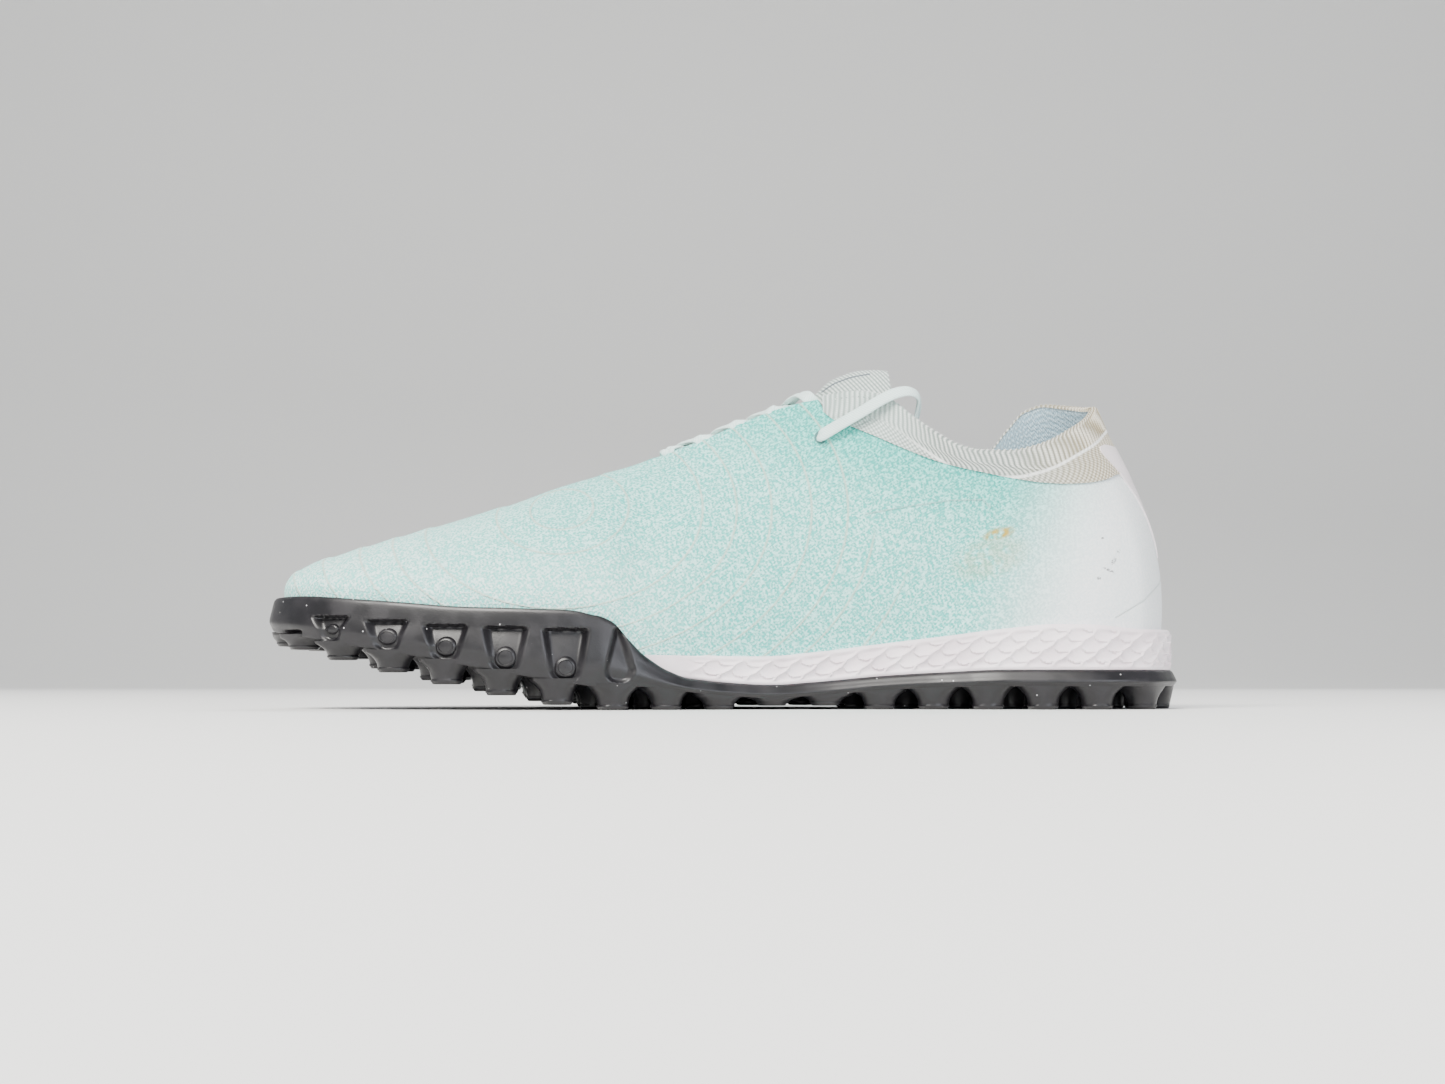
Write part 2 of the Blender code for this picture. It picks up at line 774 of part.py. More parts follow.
def make_insole(places, parts):
    inset = UPPER_INSET + UPPER_WALL + 2 * GAP

    def edge(u):
        underside = foam_top(u) + GAP
        return (inset, underside), (inset, underside + INSOLE_THICKNESS)

    insole = loft("insole", band_sections(places, edge), parts)
    insole.data.materials.append(material("sock_liner", (0.45, 0.62, 0.66), 0.85))
    return insole


def cuff_level(side, u):
    """Level of the cuff's lower edge."""
    return level_at_height(side, u, read(CUFF_LINE, "height", u) * HEEL_HEIGHT)


def level_gap(side, u, level):
    """The share of a section that measures GAP along it."""
    small = 0.01
    span = np.linalg.norm(skin(side, u, level) - skin(side, u, level - small), axis=-1)
    return GAP * small / span


def ring_rows(places, row):
    """Rows around the foot: toe to heel on the inner side, then back to the toe on the outer side."""
    inner = [row(INNER, i, u) for i, u in enumerate(places)]
    outer = [row(OUTER, i, u) for i, u in enumerate(places)]
    return np.array(inner + outer[-2:0:-1])


def make_upper(places, parts):
    tops = {}
    for side in (INNER, OUTER):
        level = np.ones(len(places))
        behind = places >= CUFF_FRONT
        edge = cuff_level(side, places[behind])
        level[behind] = edge - level_gap(side, places[behind], edge)
        tops[side] = level

    def row(side, i, u):
        levels = np.concatenate([[-1.0], np.linspace(0, tops[side][i], UPPER_LEVELS + 1)])
        return skin(side, u, levels)

    upper = sheet("upper", ring_rows(places, row), UPPER_WALL, 0.0, parts, closed=True)
    upper.data.materials.append(material("mint_knit", (0.55, 0.78, 0.75), 0.85))
    return upper


def make_collar(places, parts):
    behind = places[places >= CUFF_FRONT]

    def row(side, i, u):
        levels = np.linspace(float(cuff_level(side, u)[0]), 1, CUFF_LEVELS + 1)
        return skin(side, u, levels)

    inner = [row(INNER, 0, u) for u in behind]
    outer = [row(OUTER, 0, u) for u in behind[::-1][1:]]
    collar = sheet("collar", np.array(inner + outer), CUFF_WALL, CUFF_PROUD, parts)
    collar.data.materials.append(material("ribbed_knit", (0.62, 0.65, 0.60), 0.9))
    return collar


def make_tongue(places, parts):
    """The front panel: under the throat's edges it follows the last, between them it arches."""
    covered = places[(places >= TONGUE_FRONT) & (places <= TONGUE_BACK)]
    covered = np.concatenate([covered, [TONGUE_BACK]])
    rows = []
    for u in covered:
        inner = raised(INNER, u, np.array(FLAP_LEVELS), -TONGUE_OFFSET)
        outer = raised(OUTER, u, np.array(FLAP_LEVELS), -TONGUE_OFFSET)
        start = inner[-1]
        end = outer[-1]
        rise = read(TONGUE_RIDGE, "height", u) * TONGUE_HEIGHT - (start[2] + end[2]) / 2
        bridge = []
        for share in np.linspace(0, 1, BRIDGE_POINTS + 2)[1:-1]:
            point = start * (1 - share) + end * share
            point[2] += rise * math.sin(math.pi * share) ** BRIDGE_ROUNDNESS
            bridge.append(point)
        rows.append(np.concatenate([inner, bridge, outer[::-1]]))
    tongue = sheet("tongue", np.array(rows), TONGUE_WALL, 0.0, parts)
    tongue.data.materials.append(material("tongue_knit", (0.68, 0.74, 0.71), 0.9))
    return tongue


def make_heel_strip(parts):
    """A film strip down the back of the heel, over the knit and the cuff."""
    heights = np.linspace(STRIP_FOOT, STRIP_TOP, STRIP_ROWS) * HEEL_HEIGHT
    around = np.linspace(1, 0, STRIP_COLUMNS)
    rows = []
    for height in heights:
        risen = (height - heights[0]) / (heights[-1] - heights[0])
        reach = STRIP_FOOT_WIDTH + (1 - STRIP_FOOT_WIDTH) * risen
        row = []
        for side in (INNER, OUTER):
            shares = around if side == INNER else around[::-1][1:]
            for share in shares:
                u = heel_u(side, share * reach * STRIP_WIDTH / 2, height)
                level = level_at_height(side, u, height)[0]
                over = height / HEEL_HEIGHT - read(CUFF_LINE, "height", u) + STRIP_STEP
                stand = GAP + CUFF_PROUD * float(np.clip(over / STRIP_STEP, 0, 1))
                row.append(raised(side, u, level, stand))
        rows.append(row)
    strip = sheet("heel_strip", np.array(rows), STRIP_WALL, STRIP_WALL, parts)
    strip.data.materials.append(material("heel_film", (0.80, 0.75, 0.76), 0.45))
    return strip


def heel_u(side, distance, height):
    """Place on one side whose point at a height lies a distance in y off the heel's middle."""
    places = (1 - np.cos(np.linspace(math.pi, math.pi - HEEL_REACH, HEEL_SAMPLES))) / 2
    levels = level_at_height(side, places, np.full(len(places), height))
    off = np.abs(skin(side, places, levels)[:, 1] + CENTRE_Y)
    return float(np.interp(distance, off, places))


def throat_point(u, share, offset):
    """A point over the throat and the direction away from the foot there: share 0 is the inner
    eyelet, 1 the outer one."""
    level = float(read(EYELETS, "level", u))
    down = np.array([level, (1 + level) / 2, 1.0])
    inner = raised(INNER, u, down, offset)
    outer = raised(OUTER, u, down, offset)
    ridge = read(TONGUE_RIDGE, "height", u) * TONGUE_HEIGHT + offset
    middle = (inner[-1] + outer[-1]) / 2
    middle[2] = max(middle[2], ridge)
    beside = []
    for edge in (inner[-1], outer[-1]):
        point = (edge + middle) / 2
        point[2] = max(point[2], middle[2] - LACE_SAG)
        beside.append(point)
    points = np.array([*inner, beside[0], middle, beside[1], *outer[::-1]])
    away = skin_normal(INNER, u, down), skin_normal(OUTER, u, down)
    up = np.array([0.0, 0.0, 1.0])
    normals = np.array([*away[0], (away[0][-1] + up) / 2, up, (away[1][-1] + up) / 2, *away[1][::-1]])
    run = np.concatenate([[0], np.cumsum(np.linalg.norm(np.diff(points, axis=0), axis=1))])
    both = np.hstack([points, normals])
    return np.array([np.interp(share * run[-1], run, both[:, axis]) for axis in range(6)])


def lace_band(name, path, collection):
    """A flat lace swept along a path of points and normals, thin away from the foot."""
    path = np.array(path)
    normals = path[:, 3:]
    path = path[:, :3]
    along = np.gradient(path, axis=0)
    rings = []
    for point, direction, normal in zip(path, along, normals):
        wide = np.cross(direction, normal)
        wide /= np.linalg.norm(wide)
        thin = np.cross(wide, direction)
        thin /= np.linalg.norm(thin)
        ring = []
        for i in range(LACE_SIDES):
            turn = 2 * math.pi * i / LACE_SIDES
            reach = LACE_WIDTH / 2 * math.cos(turn) * wide + LACE_THICKNESS / 2 * math.sin(turn) * thin
            ring.append(point + reach)
        rings.append(ring)
    sides = LACE_SIDES
    faces = []
    for i in range(len(rings) - 1):
        for j in range(sides):
            after = (j + 1) % sides
            faces.append((i * sides + j, (i + 1) * sides + j, (i + 1) * sides + after, i * sides + after))
    faces.append(tuple(range(sides)))
    last = (len(rings) - 1) * sides
    faces.append(tuple(last + i for i in range(sides))[::-1])
    made = new_object(name, np.array(rings).reshape(-1, 3), faces, collection)
    clean(made)
    return made


def crossing(first_u, last_u, from_inner, offset):
    """One run of lace over the throat, from an eyelet to the next row's eyelet on the other side."""
    points = []
    for share in np.linspace(0, 1, CROSSING_POINTS):
        u = first_u + (last_u - first_u) * share
        points.append(throat_point(u, share if from_inner else 1 - share, offset))
    return points


def make_lace(parts, cutters):
    stand = LACE_THICKNESS / 2 + LACE_CLEAR
    rows = EYELETS["u"]
    lace = lace_band("lace", crossing(rows[0], rows[0], True, stand), parts)
    for start_inner in (True, False):
        path = []
        from_inner = start_inner
        for first, last in zip(rows, rows[1:]):
            path += crossing(first, last, from_inner, stand)[(1 if path else 0):]
            from_inner = not from_inner
        strand = lace_band("lace_strand", path, cutters)
        as_cutter(strand)
        boolean(lace, strand, "UNION")
    smooth(lace)
    lace.data.materials.append(material("flat_lace", (0.66, 0.82, 0.79), 0.8))
    return lace


def smooth_route(points, spacing):
    """Points read from a smooth curve through a route's own points."""
    points = np.array(points, float)
    ends = np.vstack([2 * points[0] - points[1], points, 2 * points[-1] - points[-2]])
    dense = []
    for i in range(1, len(ends) - 2):
        before, start, end, after = ends[i - 1: i + 3]
        for t in np.linspace(0, 1, CURVE_STEPS, endpoint=False):
            dense.append(
                0.5 * (2 * start + (end - before) * t
                       + (2 * before - 5 * start + 4 * end - after) * t * t
                       + (3 * start - before - 3 * end + after) * t ** 3)
            )
    dense.append(points[-1])
    dense = np.array(dense)
    run = np.concatenate([[0], np.cumsum(np.linalg.norm(np.diff(dense, axis=0), axis=1))])
    count = max(2, round(run[-1] / spacing))
    places = np.linspace(0, run[-1], count + 1)
    return np.stack([np.interp(places, run, dense[:, axis]) for axis in range(3)], axis=1)


def make_lace_loop(parts):
    route = smooth_route(np.array(LACE_ROUTE) * MM, 2 * CORD_DIAMETER)
    curve = bpy.data.curves.new("lace_loop", "CURVE")
    curve.dimensions = "3D"
    curve.bevel_depth = CORD_DIAMETER / 2
    curve.bevel_resolution = 2
    curve.use_fill_caps = True
    spline = curve.splines.new("POLY")
    spline.points.add(len(route) - 1)
    for point, place in zip(spline.points, route):
        point.co = (*place, 1.0)
    made = bpy.data.objects.new("lace_loop", curve)
    parts.objects.link(made)
    curve.materials.append(material("free_lace", (0.66, 0.82, 0.79), 0.8))
    return made


def main():
    for old in list(bpy.data.objects):
        bpy.data.objects.remove(old)
    parts = bpy.data.collections.new("turf_shoe")
    cutters = bpy.data.collections.new("cutters")
    for collection in (parts, cutters):
        bpy.context.scene.collection.children.link(collection)
    places = stations()
    make_outsole(places, parts, cutters)
    make_midsole(places, parts)
    make_insole(places, parts)
    make_upper(places, parts)
    make_collar(places, parts)
    make_tongue(places, parts)
    make_heel_strip(parts)
    make_lace(parts, cutters)
    make_lace_loop(parts)


main()
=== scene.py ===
"""Looks of the right turf shoe, laid out as an add-on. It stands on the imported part's frame.

Frame: metres, +Z up, the toe points to -X and the inner side of the foot faces -Y. The last is one
function, skin(), shared with the part: its tables hold shares of the named sizes, and their first
column, u, runs from the toe (0) to the heel (1). Each soft piece is a grid laid on that last.
"""

import math

import bpy
import numpy as np
from bpy.props import FloatProperty, FloatVectorProperty, PointerProperty
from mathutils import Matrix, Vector


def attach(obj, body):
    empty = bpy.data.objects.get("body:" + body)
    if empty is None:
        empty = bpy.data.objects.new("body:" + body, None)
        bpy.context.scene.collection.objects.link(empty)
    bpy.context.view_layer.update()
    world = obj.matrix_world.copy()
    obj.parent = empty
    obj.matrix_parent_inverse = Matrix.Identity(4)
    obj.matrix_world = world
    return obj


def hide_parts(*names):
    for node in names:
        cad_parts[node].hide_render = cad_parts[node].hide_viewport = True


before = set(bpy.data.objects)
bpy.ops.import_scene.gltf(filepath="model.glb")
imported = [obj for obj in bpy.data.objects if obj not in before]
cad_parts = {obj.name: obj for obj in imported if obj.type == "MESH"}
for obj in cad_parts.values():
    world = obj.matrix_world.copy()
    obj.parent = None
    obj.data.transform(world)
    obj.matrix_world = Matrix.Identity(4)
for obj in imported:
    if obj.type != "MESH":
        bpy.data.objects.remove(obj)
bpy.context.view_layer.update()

bl_info = {
    "name": "Turf Shoe",
    "version": (1, 0, 0),
    "blender": (4, 5, 0),
    "location": "View3D > Sidebar > Turf Shoe",
    "description": "Builds a knitted turf shoe with a foam midsole and a lugged rubber sole",
    "category": "Object",
}

MM = 0.001
INNER = -1
OUTER = 1

# Overall sizes of the last and the sole, as in the part
LENGTH = 290 * MM
BALL_WIDTH = 99 * MM
INSTEP_HEIGHT = 98 * MM
HEEL_HEIGHT = 96.7 * MM
TONGUE_HEIGHT = 110 * MM
TOE_SPRING = 22 * MM
LUG_HEIGHT = 7.2 * MM
SLAB_THICKNESS = 4.8 * MM
RAND_HEIGHT = 20 * MM
RAND_WALL = 2.4 * MM
RAND_TOP_INSET = 1.8 * MM
TREAD_INSET = 1.2 * MM
FOAM_HEIGHT = 14.3 * MM
FOAM_EDGE = 0.8 * MM
FOAM_FLUSH_FROM = 0.466
FOAM_FLUSH_RUN = 0.05
GAP = 0.3 * MM
UPPER_INSET = RAND_TOP_INSET + RAND_WALL + GAP
FEATHER_CLEAR = 1.5 * MM
CUFF_WALL = 2.8 * MM
CUFF_PROUD = 0.5 * MM
TONGUE_WALL = 2.4 * MM
TONGUE_OFFSET = CUFF_WALL - CUFF_PROUD + 1.5 * GAP
THROAT_FRONT = 0.425
CUFF_FRONT = 0.612
TONGUE_FRONT = 0.395
TONGUE_BACK = 0.688

# Lugs and pockets, as in the part
LUG_PITCH = 16.6 * MM
LUG_ROW = 12.6 * MM
LUG_ROWS = 4
LUG_ROOT = 5.6 * MM
LUG_TIP = 4.1 * MM
LUG_CLEAR = 0.2 * MM
LUG_EDGE_SLACK = 0.4 * MM
EDGE_LUG_INSET = 6.9 * MM
EDGE_LUG_ROOT = 6.9 * MM
EDGE_LUG_TIP = 4.7 * MM
WAIST_LUG_LIFT = 1.2 * MM
WAIST_START = 0.50
WAIST_END = 0.63
OUTLINE_SAMPLES = 240
POCKET_TOP_LENGTH = 11.5 * MM
POCKET_PITCH = 18.2 * MM
POCKET_START = 0.084
POCKET_COUNT = 5
POCKET_BAND = 5.5 * MM
POCKET_LEDGE = 1.6 * MM
BUTTON_RADIUS = 2.9 * MM
SCOOP_ROUND = 1.3 * MM
BUTTON_SUNK = 2.9 * MM

# Laces: the way that the free lace's flat side faces at its start, middle and end comes last
LACE_CLEAR = 1.2 * MM
LACE_SPACING = 0.7 * MM
INNER_EYELET_LEVEL = 0.985
FREE_EYELET = (0.609, 0.80)
FREE_LACE_FACING = ((-0.35, -0.9, 0.25), (-0.1, -0.75, 0.65), (0.95, 0.2, 0.1))

# The upper's lower edge is tucked into the foam, and its top under the cuff
FEATHER_TUCK = 0.8 * MM
CUFF_LAP = 0.012

# Heel strip: its foot, its top and the run over which it lifts onto the cuff are in HEEL_HEIGHT
STRIP_FOOT = 0.50
STRIP_TOP = 0.865
STRIP_LIFT_RUN = 0.04
STRIP_FOOT_SHARE = 0.14
STRIP_CORNER = 5.0 * MM

# Rows and columns of the grids that the pieces are laid on
UPPER_PLACES = 230
UPPER_COLUMNS = 62
COLLAR_PLACES = 760
COLLAR_COLUMNS = 12
FOLD_COLUMNS = 7
TONGUE_PLACES = 110
STRIP_ROWS = 40
RAND_PLACES = 700
HEEL_PLACES = 330
WALL_ROWS = 48
FOAM_HIDDEN_PLACES = 160
FOAM_PLACES = 1000
FOAM_ROWS = 34
BOTTOM_COLUMNS = 8

# Contour lines of the upper's film: ellipses about one centre in the side view
RING_CENTRE = (-51 * MM, 62.5 * MM)
RING_STRETCH = 1.38
RING_RADII = (10, 20.9, 44, 54.7, 65.6, 78.1, 89.4, 98, 111)
RING_FULL = 90


def table(names, *rows):
    """Columns of a table by name, each an array."""
    return dict(zip(names.split(), np.array(rows, float).T))


# Half widths of the sole on the inner and outer side, in shares of BALL_WIDTH
OUTLINE = table(
    "u     inner   outer",
    (0.000, 0.080, -0.080),
    (0.020, 0.240, 0.085),
    (0.050, 0.328, 0.205),
    (0.100, 0.404, 0.318),
    (0.180, 0.455, 0.415),
    (0.280, 0.480, 0.485),
    (0.370, 0.465, 0.520),
    (0.450, 0.396, 0.508),
    (0.540, 0.328, 0.468),
    (0.620, 0.298, 0.430),
    (0.700, 0.303, 0.396),
    (0.800, 0.336, 0.372),
    (0.880, 0.346, 0.358),
    (0.950, 0.288, 0.298),
    (0.985, 0.166, 0.172),
    (1.000, 0.000, 0.000),
)

# Heights of the sole: spring in TOE_SPRING, lug in LUG_HEIGHT, slab in SLAB_THICKNESS,
# lip (the rand above the slab) in RAND_HEIGHT, foam in FOAM_HEIGHT
SOLE = table(
    "u     spring lug   slab  lip    foam",
    (0.000, 1.000, 0.45, 0.70, 0.290, 0.20),
    (0.050, 0.834, 0.56, 0.70, 0.440, 0.30),
    (0.120, 0.613, 0.76, 0.75, 0.530, 0.32),
    (0.200, 0.378, 0.95, 0.80, 0.615, 0.32),
    (0.300, 0.125, 1.00, 0.80, 0.820, 0.35),
    (0.345, 0.034, 1.00, 0.80, 0.890, 0.39),
    (0.366, 0.000, 1.00, 0.80, 0.860, 0.41),
    (0.384, 0.000, 1.00, 0.80, 0.765, 0.42),
    (0.402, 0.000, 0.99, 0.80, 0.495, 0.43),
    (0.420, 0.000, 0.97, 0.80, 0.250, 0.45),
    (0.443, 0.000, 0.86, 0.80, 0.075, 0.50),
    (0.466, 0.000, 0.74, 0.80, 0.000, 0.55),
    (0.500, 0.000, 0.60, 0.78, 0.000, 0.59),
    (0.550, 0.000, 0.51, 0.76, 0.000, 0.64),
    (0.600, 0.000, 0.60, 0.82, 0.000, 0.67),
    (0.660, 0.000, 0.80, 0.86, 0.000, 0.71),
    (0.720, 0.000, 0.93, 0.90, 0.000, 0.78),
    (0.800, 0.000, 1.00, 1.00, 0.000, 0.91),
    (0.850, 0.000, 1.00, 1.00, 0.000, 1.00),
    (0.890, 0.000, 1.00, 1.00, 0.000, 0.99),
    (0.950, 0.000, 1.00, 1.00, 0.000, 0.90),
    (1.000, 0.000, 1.00, 1.00, 0.000, 0.92),
)

# Top line of the vamp up to the throat's top: top is its place along the shoe, y in BALL_WIDTH,
# height in INSTEP_HEIGHT
VAMP_EDGE = table(
    "u     top    inner   outer   height height_outer",
    (0.000, 0.125, -0.060, -0.060, 0.538, 0.538),
    (0.020, 0.135, -0.058, -0.058, 0.548, 0.548),
    (0.050, 0.150, -0.054, -0.054, 0.564, 0.564),
    (0.100, 0.178, -0.048, -0.048, 0.590, 0.590),
    (0.170, 0.218, -0.040, -0.040, 0.625, 0.625),
    (0.250, 0.272, -0.030, -0.030, 0.676, 0.676),
    (0.330, 0.336, -0.020, -0.020, 0.745, 0.745),
    (0.400, 0.401, -0.006, -0.006, 0.806, 0.806),
    (0.425, 0.425, 0.000, 0.000, 0.832, 0.832),
    (0.442, 0.442, -0.032, 0.078, 0.848, 0.840),
    (0.470, 0.470, -0.050, 0.126, 0.876, 0.856),
    (0.520, 0.520, -0.062, 0.154, 0.938, 0.910),
    (0.560, 0.560, -0.076, 0.172, 0.982, 0.952),
    (0.590, 0.588, -0.098, 0.188, 1.001, 0.976),
)

# Rim of the collar, heights in HEEL_HEIGHT
RIM_EDGE = table(
    "u     top    inner   outer   height height_outer",
    (0.620, 0.615, -0.136, 0.202, 1.024, 1.004),
    (0.645, 0.640, -0.174, 0.212, 1.030, 1.020),
    (0.670, 0.664, -0.204, 0.222, 1.018, 1.020),
    (0.690, 0.684, -0.228, 0.232, 0.985, 1.000),
    (0.710, 0.704, -0.243, 0.250, 0.936, 0.955),
    (0.735, 0.727, -0.262, 0.270, 0.884, 0.912),
    (0.760, 0.750, -0.277, 0.287, 0.842, 0.884),
    (0.785, 0.774, -0.285, 0.298, 0.823, 0.868),
    (0.820, 0.806, -0.283, 0.298, 0.821, 0.880),
    (0.850, 0.830, -0.272, 0.288, 0.834, 0.955),
    (0.880, 0.852, -0.250, 0.266, 0.858, 1.022),
    (0.910, 0.873, -0.220, 0.236, 0.893, 1.040),
    (0.940, 0.891, -0.174, 0.186, 0.926, 1.030),
    (0.965, 0.903, -0.120, 0.126, 0.955, 1.018),
    (0.985, 0.912, -0.060, 0.063, 0.985, 1.006),
    (1.000, 0.9165, 0.000, 0.000, 1.000, 1.000),
)

# Lower edge of the ribbed cuff, in HEEL_HEIGHT
CUFF_LINE = table(
    "u     height",
    (0.600, 1.020),
    (0.612, 0.978),
    (0.625, 0.945),
    (0.645, 0.915),
    (0.670, 0.880),
    (0.690, 0.850),
    (0.710, 0.824),
    (0.735, 0.797),
    (0.760, 0.777),
    (0.785, 0.760),
    (0.820, 0.740),
    (0.850, 0.728),
    (0.880, 0.724),
    (0.910, 0.728),
    (0.940, 0.742),
    (0.970, 0.766),
    (1.000, 0.784),
)

# How a section rises from the feather line to the top edge: rise, spread and drop are shares of the
# section's height, width and height, and the bulges are in BALL_WIDTH
SWELL = table(
    "u    rise  spread drop  bulge_in bulge_out",
    (0.00, 0.60, 0.52, 0.31, 0.004, 0.004),
    (0.02, 0.58, 0.52, 0.30, 0.004, 0.004),
    (0.05, 0.54, 0.54, 0.25, 0.004, 0.004),
    (0.10, 0.50, 0.55, 0.17, 0.005, 0.005),
    (0.17, 0.50, 0.53, 0.09, 0.005, 0.006),
    (0.25, 0.50, 0.50, 0.05, 0.006, 0.008),
    (0.40, 0.50, 0.42, 0.10, 0.018, 0.012),
    (0.50, 0.48, 0.36, 0.18, 0.050, 0.016),
    (0.60, 0.45, 0.32, 0.25, 0.075, 0.020),
    (0.70, 0.42, 0.32, 0.28, 0.065, 0.030),
    (0.80, 0.42, 0.35, 0.30, 0.040, 0.034),
    (0.90, 0.44, 0.40, 0.30, 0.030, 0.030),
    (1.00, 0.46, 0.44, 0.30, 0.022, 0.022),
)

# Ridge of the tongue, in TONGUE_HEIGHT
TONGUE_RIDGE = table(
    "u     height",
    (0.395, 0.684),
    (0.425, 0.712),
    (0.442, 0.735),
    (0.470, 0.764),
    (0.520, 0.822),
    (0.560, 0.862),
    (0.590, 0.905),
    (0.612, 0.950),
    (0.635, 0.982),
    (0.655, 0.997),
    (0.675, 1.000),
    (0.688, 0.996),
)

# Eyelet rows by their place along the shoe and their height on the side, as a share of the skin
EYELETS = table(
    "u     level",
    (0.437, 0.930),
    (0.476, 0.930),
    (0.515, 0.930),
    (0.556, 0.920),
    (0.600, 0.840),
)

# Inset of the rubber's outer wall by its height between the tread and the rand's top
WALL_PROFILE = table(
    "u     inset",
    (0.00, 1.20),
    (0.10, 0.70),
    (0.30, 0.00),
    (0.72, 0.80),
    (1.00, 1.80),
)

# Recesses of the rand without a button, at the toe and before the waist, in millimetres
PLAIN_SCOOPS = table(
    "place middle radius top   half  depth",
    (0.036, 20.2, 3.6, 24.4, 4.8, 0.6),
    (0.391, 12.5, 4.2, 24.5, 0.8, 1.0),
)

# Small dark scuffs at the heel's inner side, in millimetres, with the tilt in radians
SCUFFS = table(
    "x     z     length width tilt",
    (120.6, 46.0, 1.8, 0.8, 1.0),
    (122.4, 49.0, 0.9, 0.6, 0.8),
    (117.2, 53.0, 0.6, 0.5, 0.0),
    (115.6, 40.5, 0.8, 0.7, 0.0),
    (119.0, 43.0, 2.6, 0.5, -0.4),
)

# Thin lines in the side view, (x, z) in millimetres
FILM_EDGE = ((44, 60.8), (58, 63.2), (70, 64.9), (80, 65.0), (82.5, 62.5))
COUNTER_SEAM = ((141, 43.5), (138, 39.6), (131, 34.2), (121, 28.6))
TONGUE_DARK_LINE = ((31.5, 102.3), (35.5, 104.6), (40.0, 106.2), (46.5, 107.4))

# Route of the free lace from the top eyelet over the cuff's front and down inside, in millimetres
LACE_ROUTE = (
    (31.0, -20.2, 86.6),
    (34.5, -21.4, 88.6),
    (38.5, -23.2, 90.8),
    (43.5, -24.6, 93.6),
    (48.5, -25.4, 96.6),
    (53.0, -25.6, 98.8),
    (57.5, -24.6, 99.8),
    (60.6, -22.4, 98.8),
    (61.4, -20.0, 96.2),
    (60.8, -18.6, 92.4),
    (59.6, -18.2, 88.2),
    (58.6, -18.4, 83.8),
    (57.8, -18.6, 79.4),
)


def angle(u):
    """The table's place along the shoe as an angle, so that round ends stay round."""
    return np.arccos(1 - 2 * np.clip(np.asarray(u, float), 0, 1))


def read(rows, name, u):
    """A column read at u through a smooth curve that never overshoots its rows."""
    x = angle(rows["u"])
    y = rows[name]
    at = np.clip(angle(u), x[0], x[-1])
    step = np.diff(x)
    slope = np.diff(y) / step
    tangent = np.zeros_like(y)
    tangent[0] = slope[0]
    tangent[-1] = slope[-1]
    rising = slope[:-1] * slope[1:] > 0
    before = slope[:-1][rising]
    after = slope[1:][rising]
    tangent[1:-1][rising] = 2 * before * after / (before + after)
    i = np.clip(np.searchsorted(x, at, side="right") - 1, 0, len(step) - 1)
    t = (at - x[i]) / step[i]
    start = (1 + 2 * t) * (1 - t) ** 2 * y[i] + t * (1 - t) ** 2 * step[i] * tangent[i]
    end = t * t * (3 - 2 * t) * y[i + 1] + t * t * (t - 1) * step[i] * tangent[i + 1]
    return start + end


def side_of(side):
    return "inner" if side == INNER else "outer"


CENTRE_Y = (OUTLINE["outer"].max() - OUTLINE["inner"].max()) / 2 * BALL_WIDTH


def outline(side, u, inset=0.0):
    """Plan points of the sole's edge, moved inwards by inset."""
    turn = angle(u)
    small = 1e-3

    def at(a):
        share = (1 - np.cos(a)) / 2
        x = (share - 0.5) * LENGTH
        y = side * read(OUTLINE, side_of(side), share) * BALL_WIDTH - CENTRE_Y
        return x, y

    x, y = at(turn)
    ahead_x, ahead_y = at(np.minimum(turn + small, math.pi))
    back_x, back_y = at(np.maximum(turn - small, 0))
    along_x = np.where((turn <= 0) | (turn >= math.pi), 0, ahead_x - back_x)
    along_y = ahead_y - back_y
    run = np.hypot(along_x, along_y)
    return x - inset * side * -along_y / run, y - inset * side * along_x / run


def spring(u):
    return read(SOLE, "spring", u) * TOE_SPRING


def tread(u):
    """Underside of the slab, where the lugs start."""
    return spring(u) + read(SOLE, "lug", u) * LUG_HEIGHT


def slab_top(u):
    return tread(u) + read(SOLE, "slab", u) * SLAB_THICKNESS


def rand_top(u):
    return slab_top(u) + read(SOLE, "lip", u) * RAND_HEIGHT


def foam_top(u):
    return slab_top(u) + read(SOLE, "foam", u) * FOAM_HEIGHT


def foam_inset(u):
    """The foam hides inside the rand, then comes out flush with the rubber behind it."""
    share = np.clip((np.asarray(u, float) - FOAM_FLUSH_FROM) / FOAM_FLUSH_RUN, 0, 1)
    share = share * share * (3 - 2 * share)
    return UPPER_INSET + (RAND_TOP_INSET - UPPER_INSET) * share


def top_edge(side, u):
    """The line that the sections rise to: the vamp's ridge, the throat's edge and the collar's rim."""
    rows = {}
    for name in VAMP_EDGE:
        rows[name] = np.concatenate([VAMP_EDGE[name], RIM_EDGE[name]])
    count = len(VAMP_EDGE["u"])
    height = "height" if side == INNER else "height_outer"
    rows[height] = rows[height].copy()
    rows[height][:count] *= INSTEP_HEIGHT
    rows[height][count:] *= HEEL_HEIGHT
    x = (read(rows, "top", u) - 0.5) * LENGTH
    y = read(rows, side_of(side), u) * BALL_WIDTH - CENTRE_Y
    return x, y, read(rows, height, u)


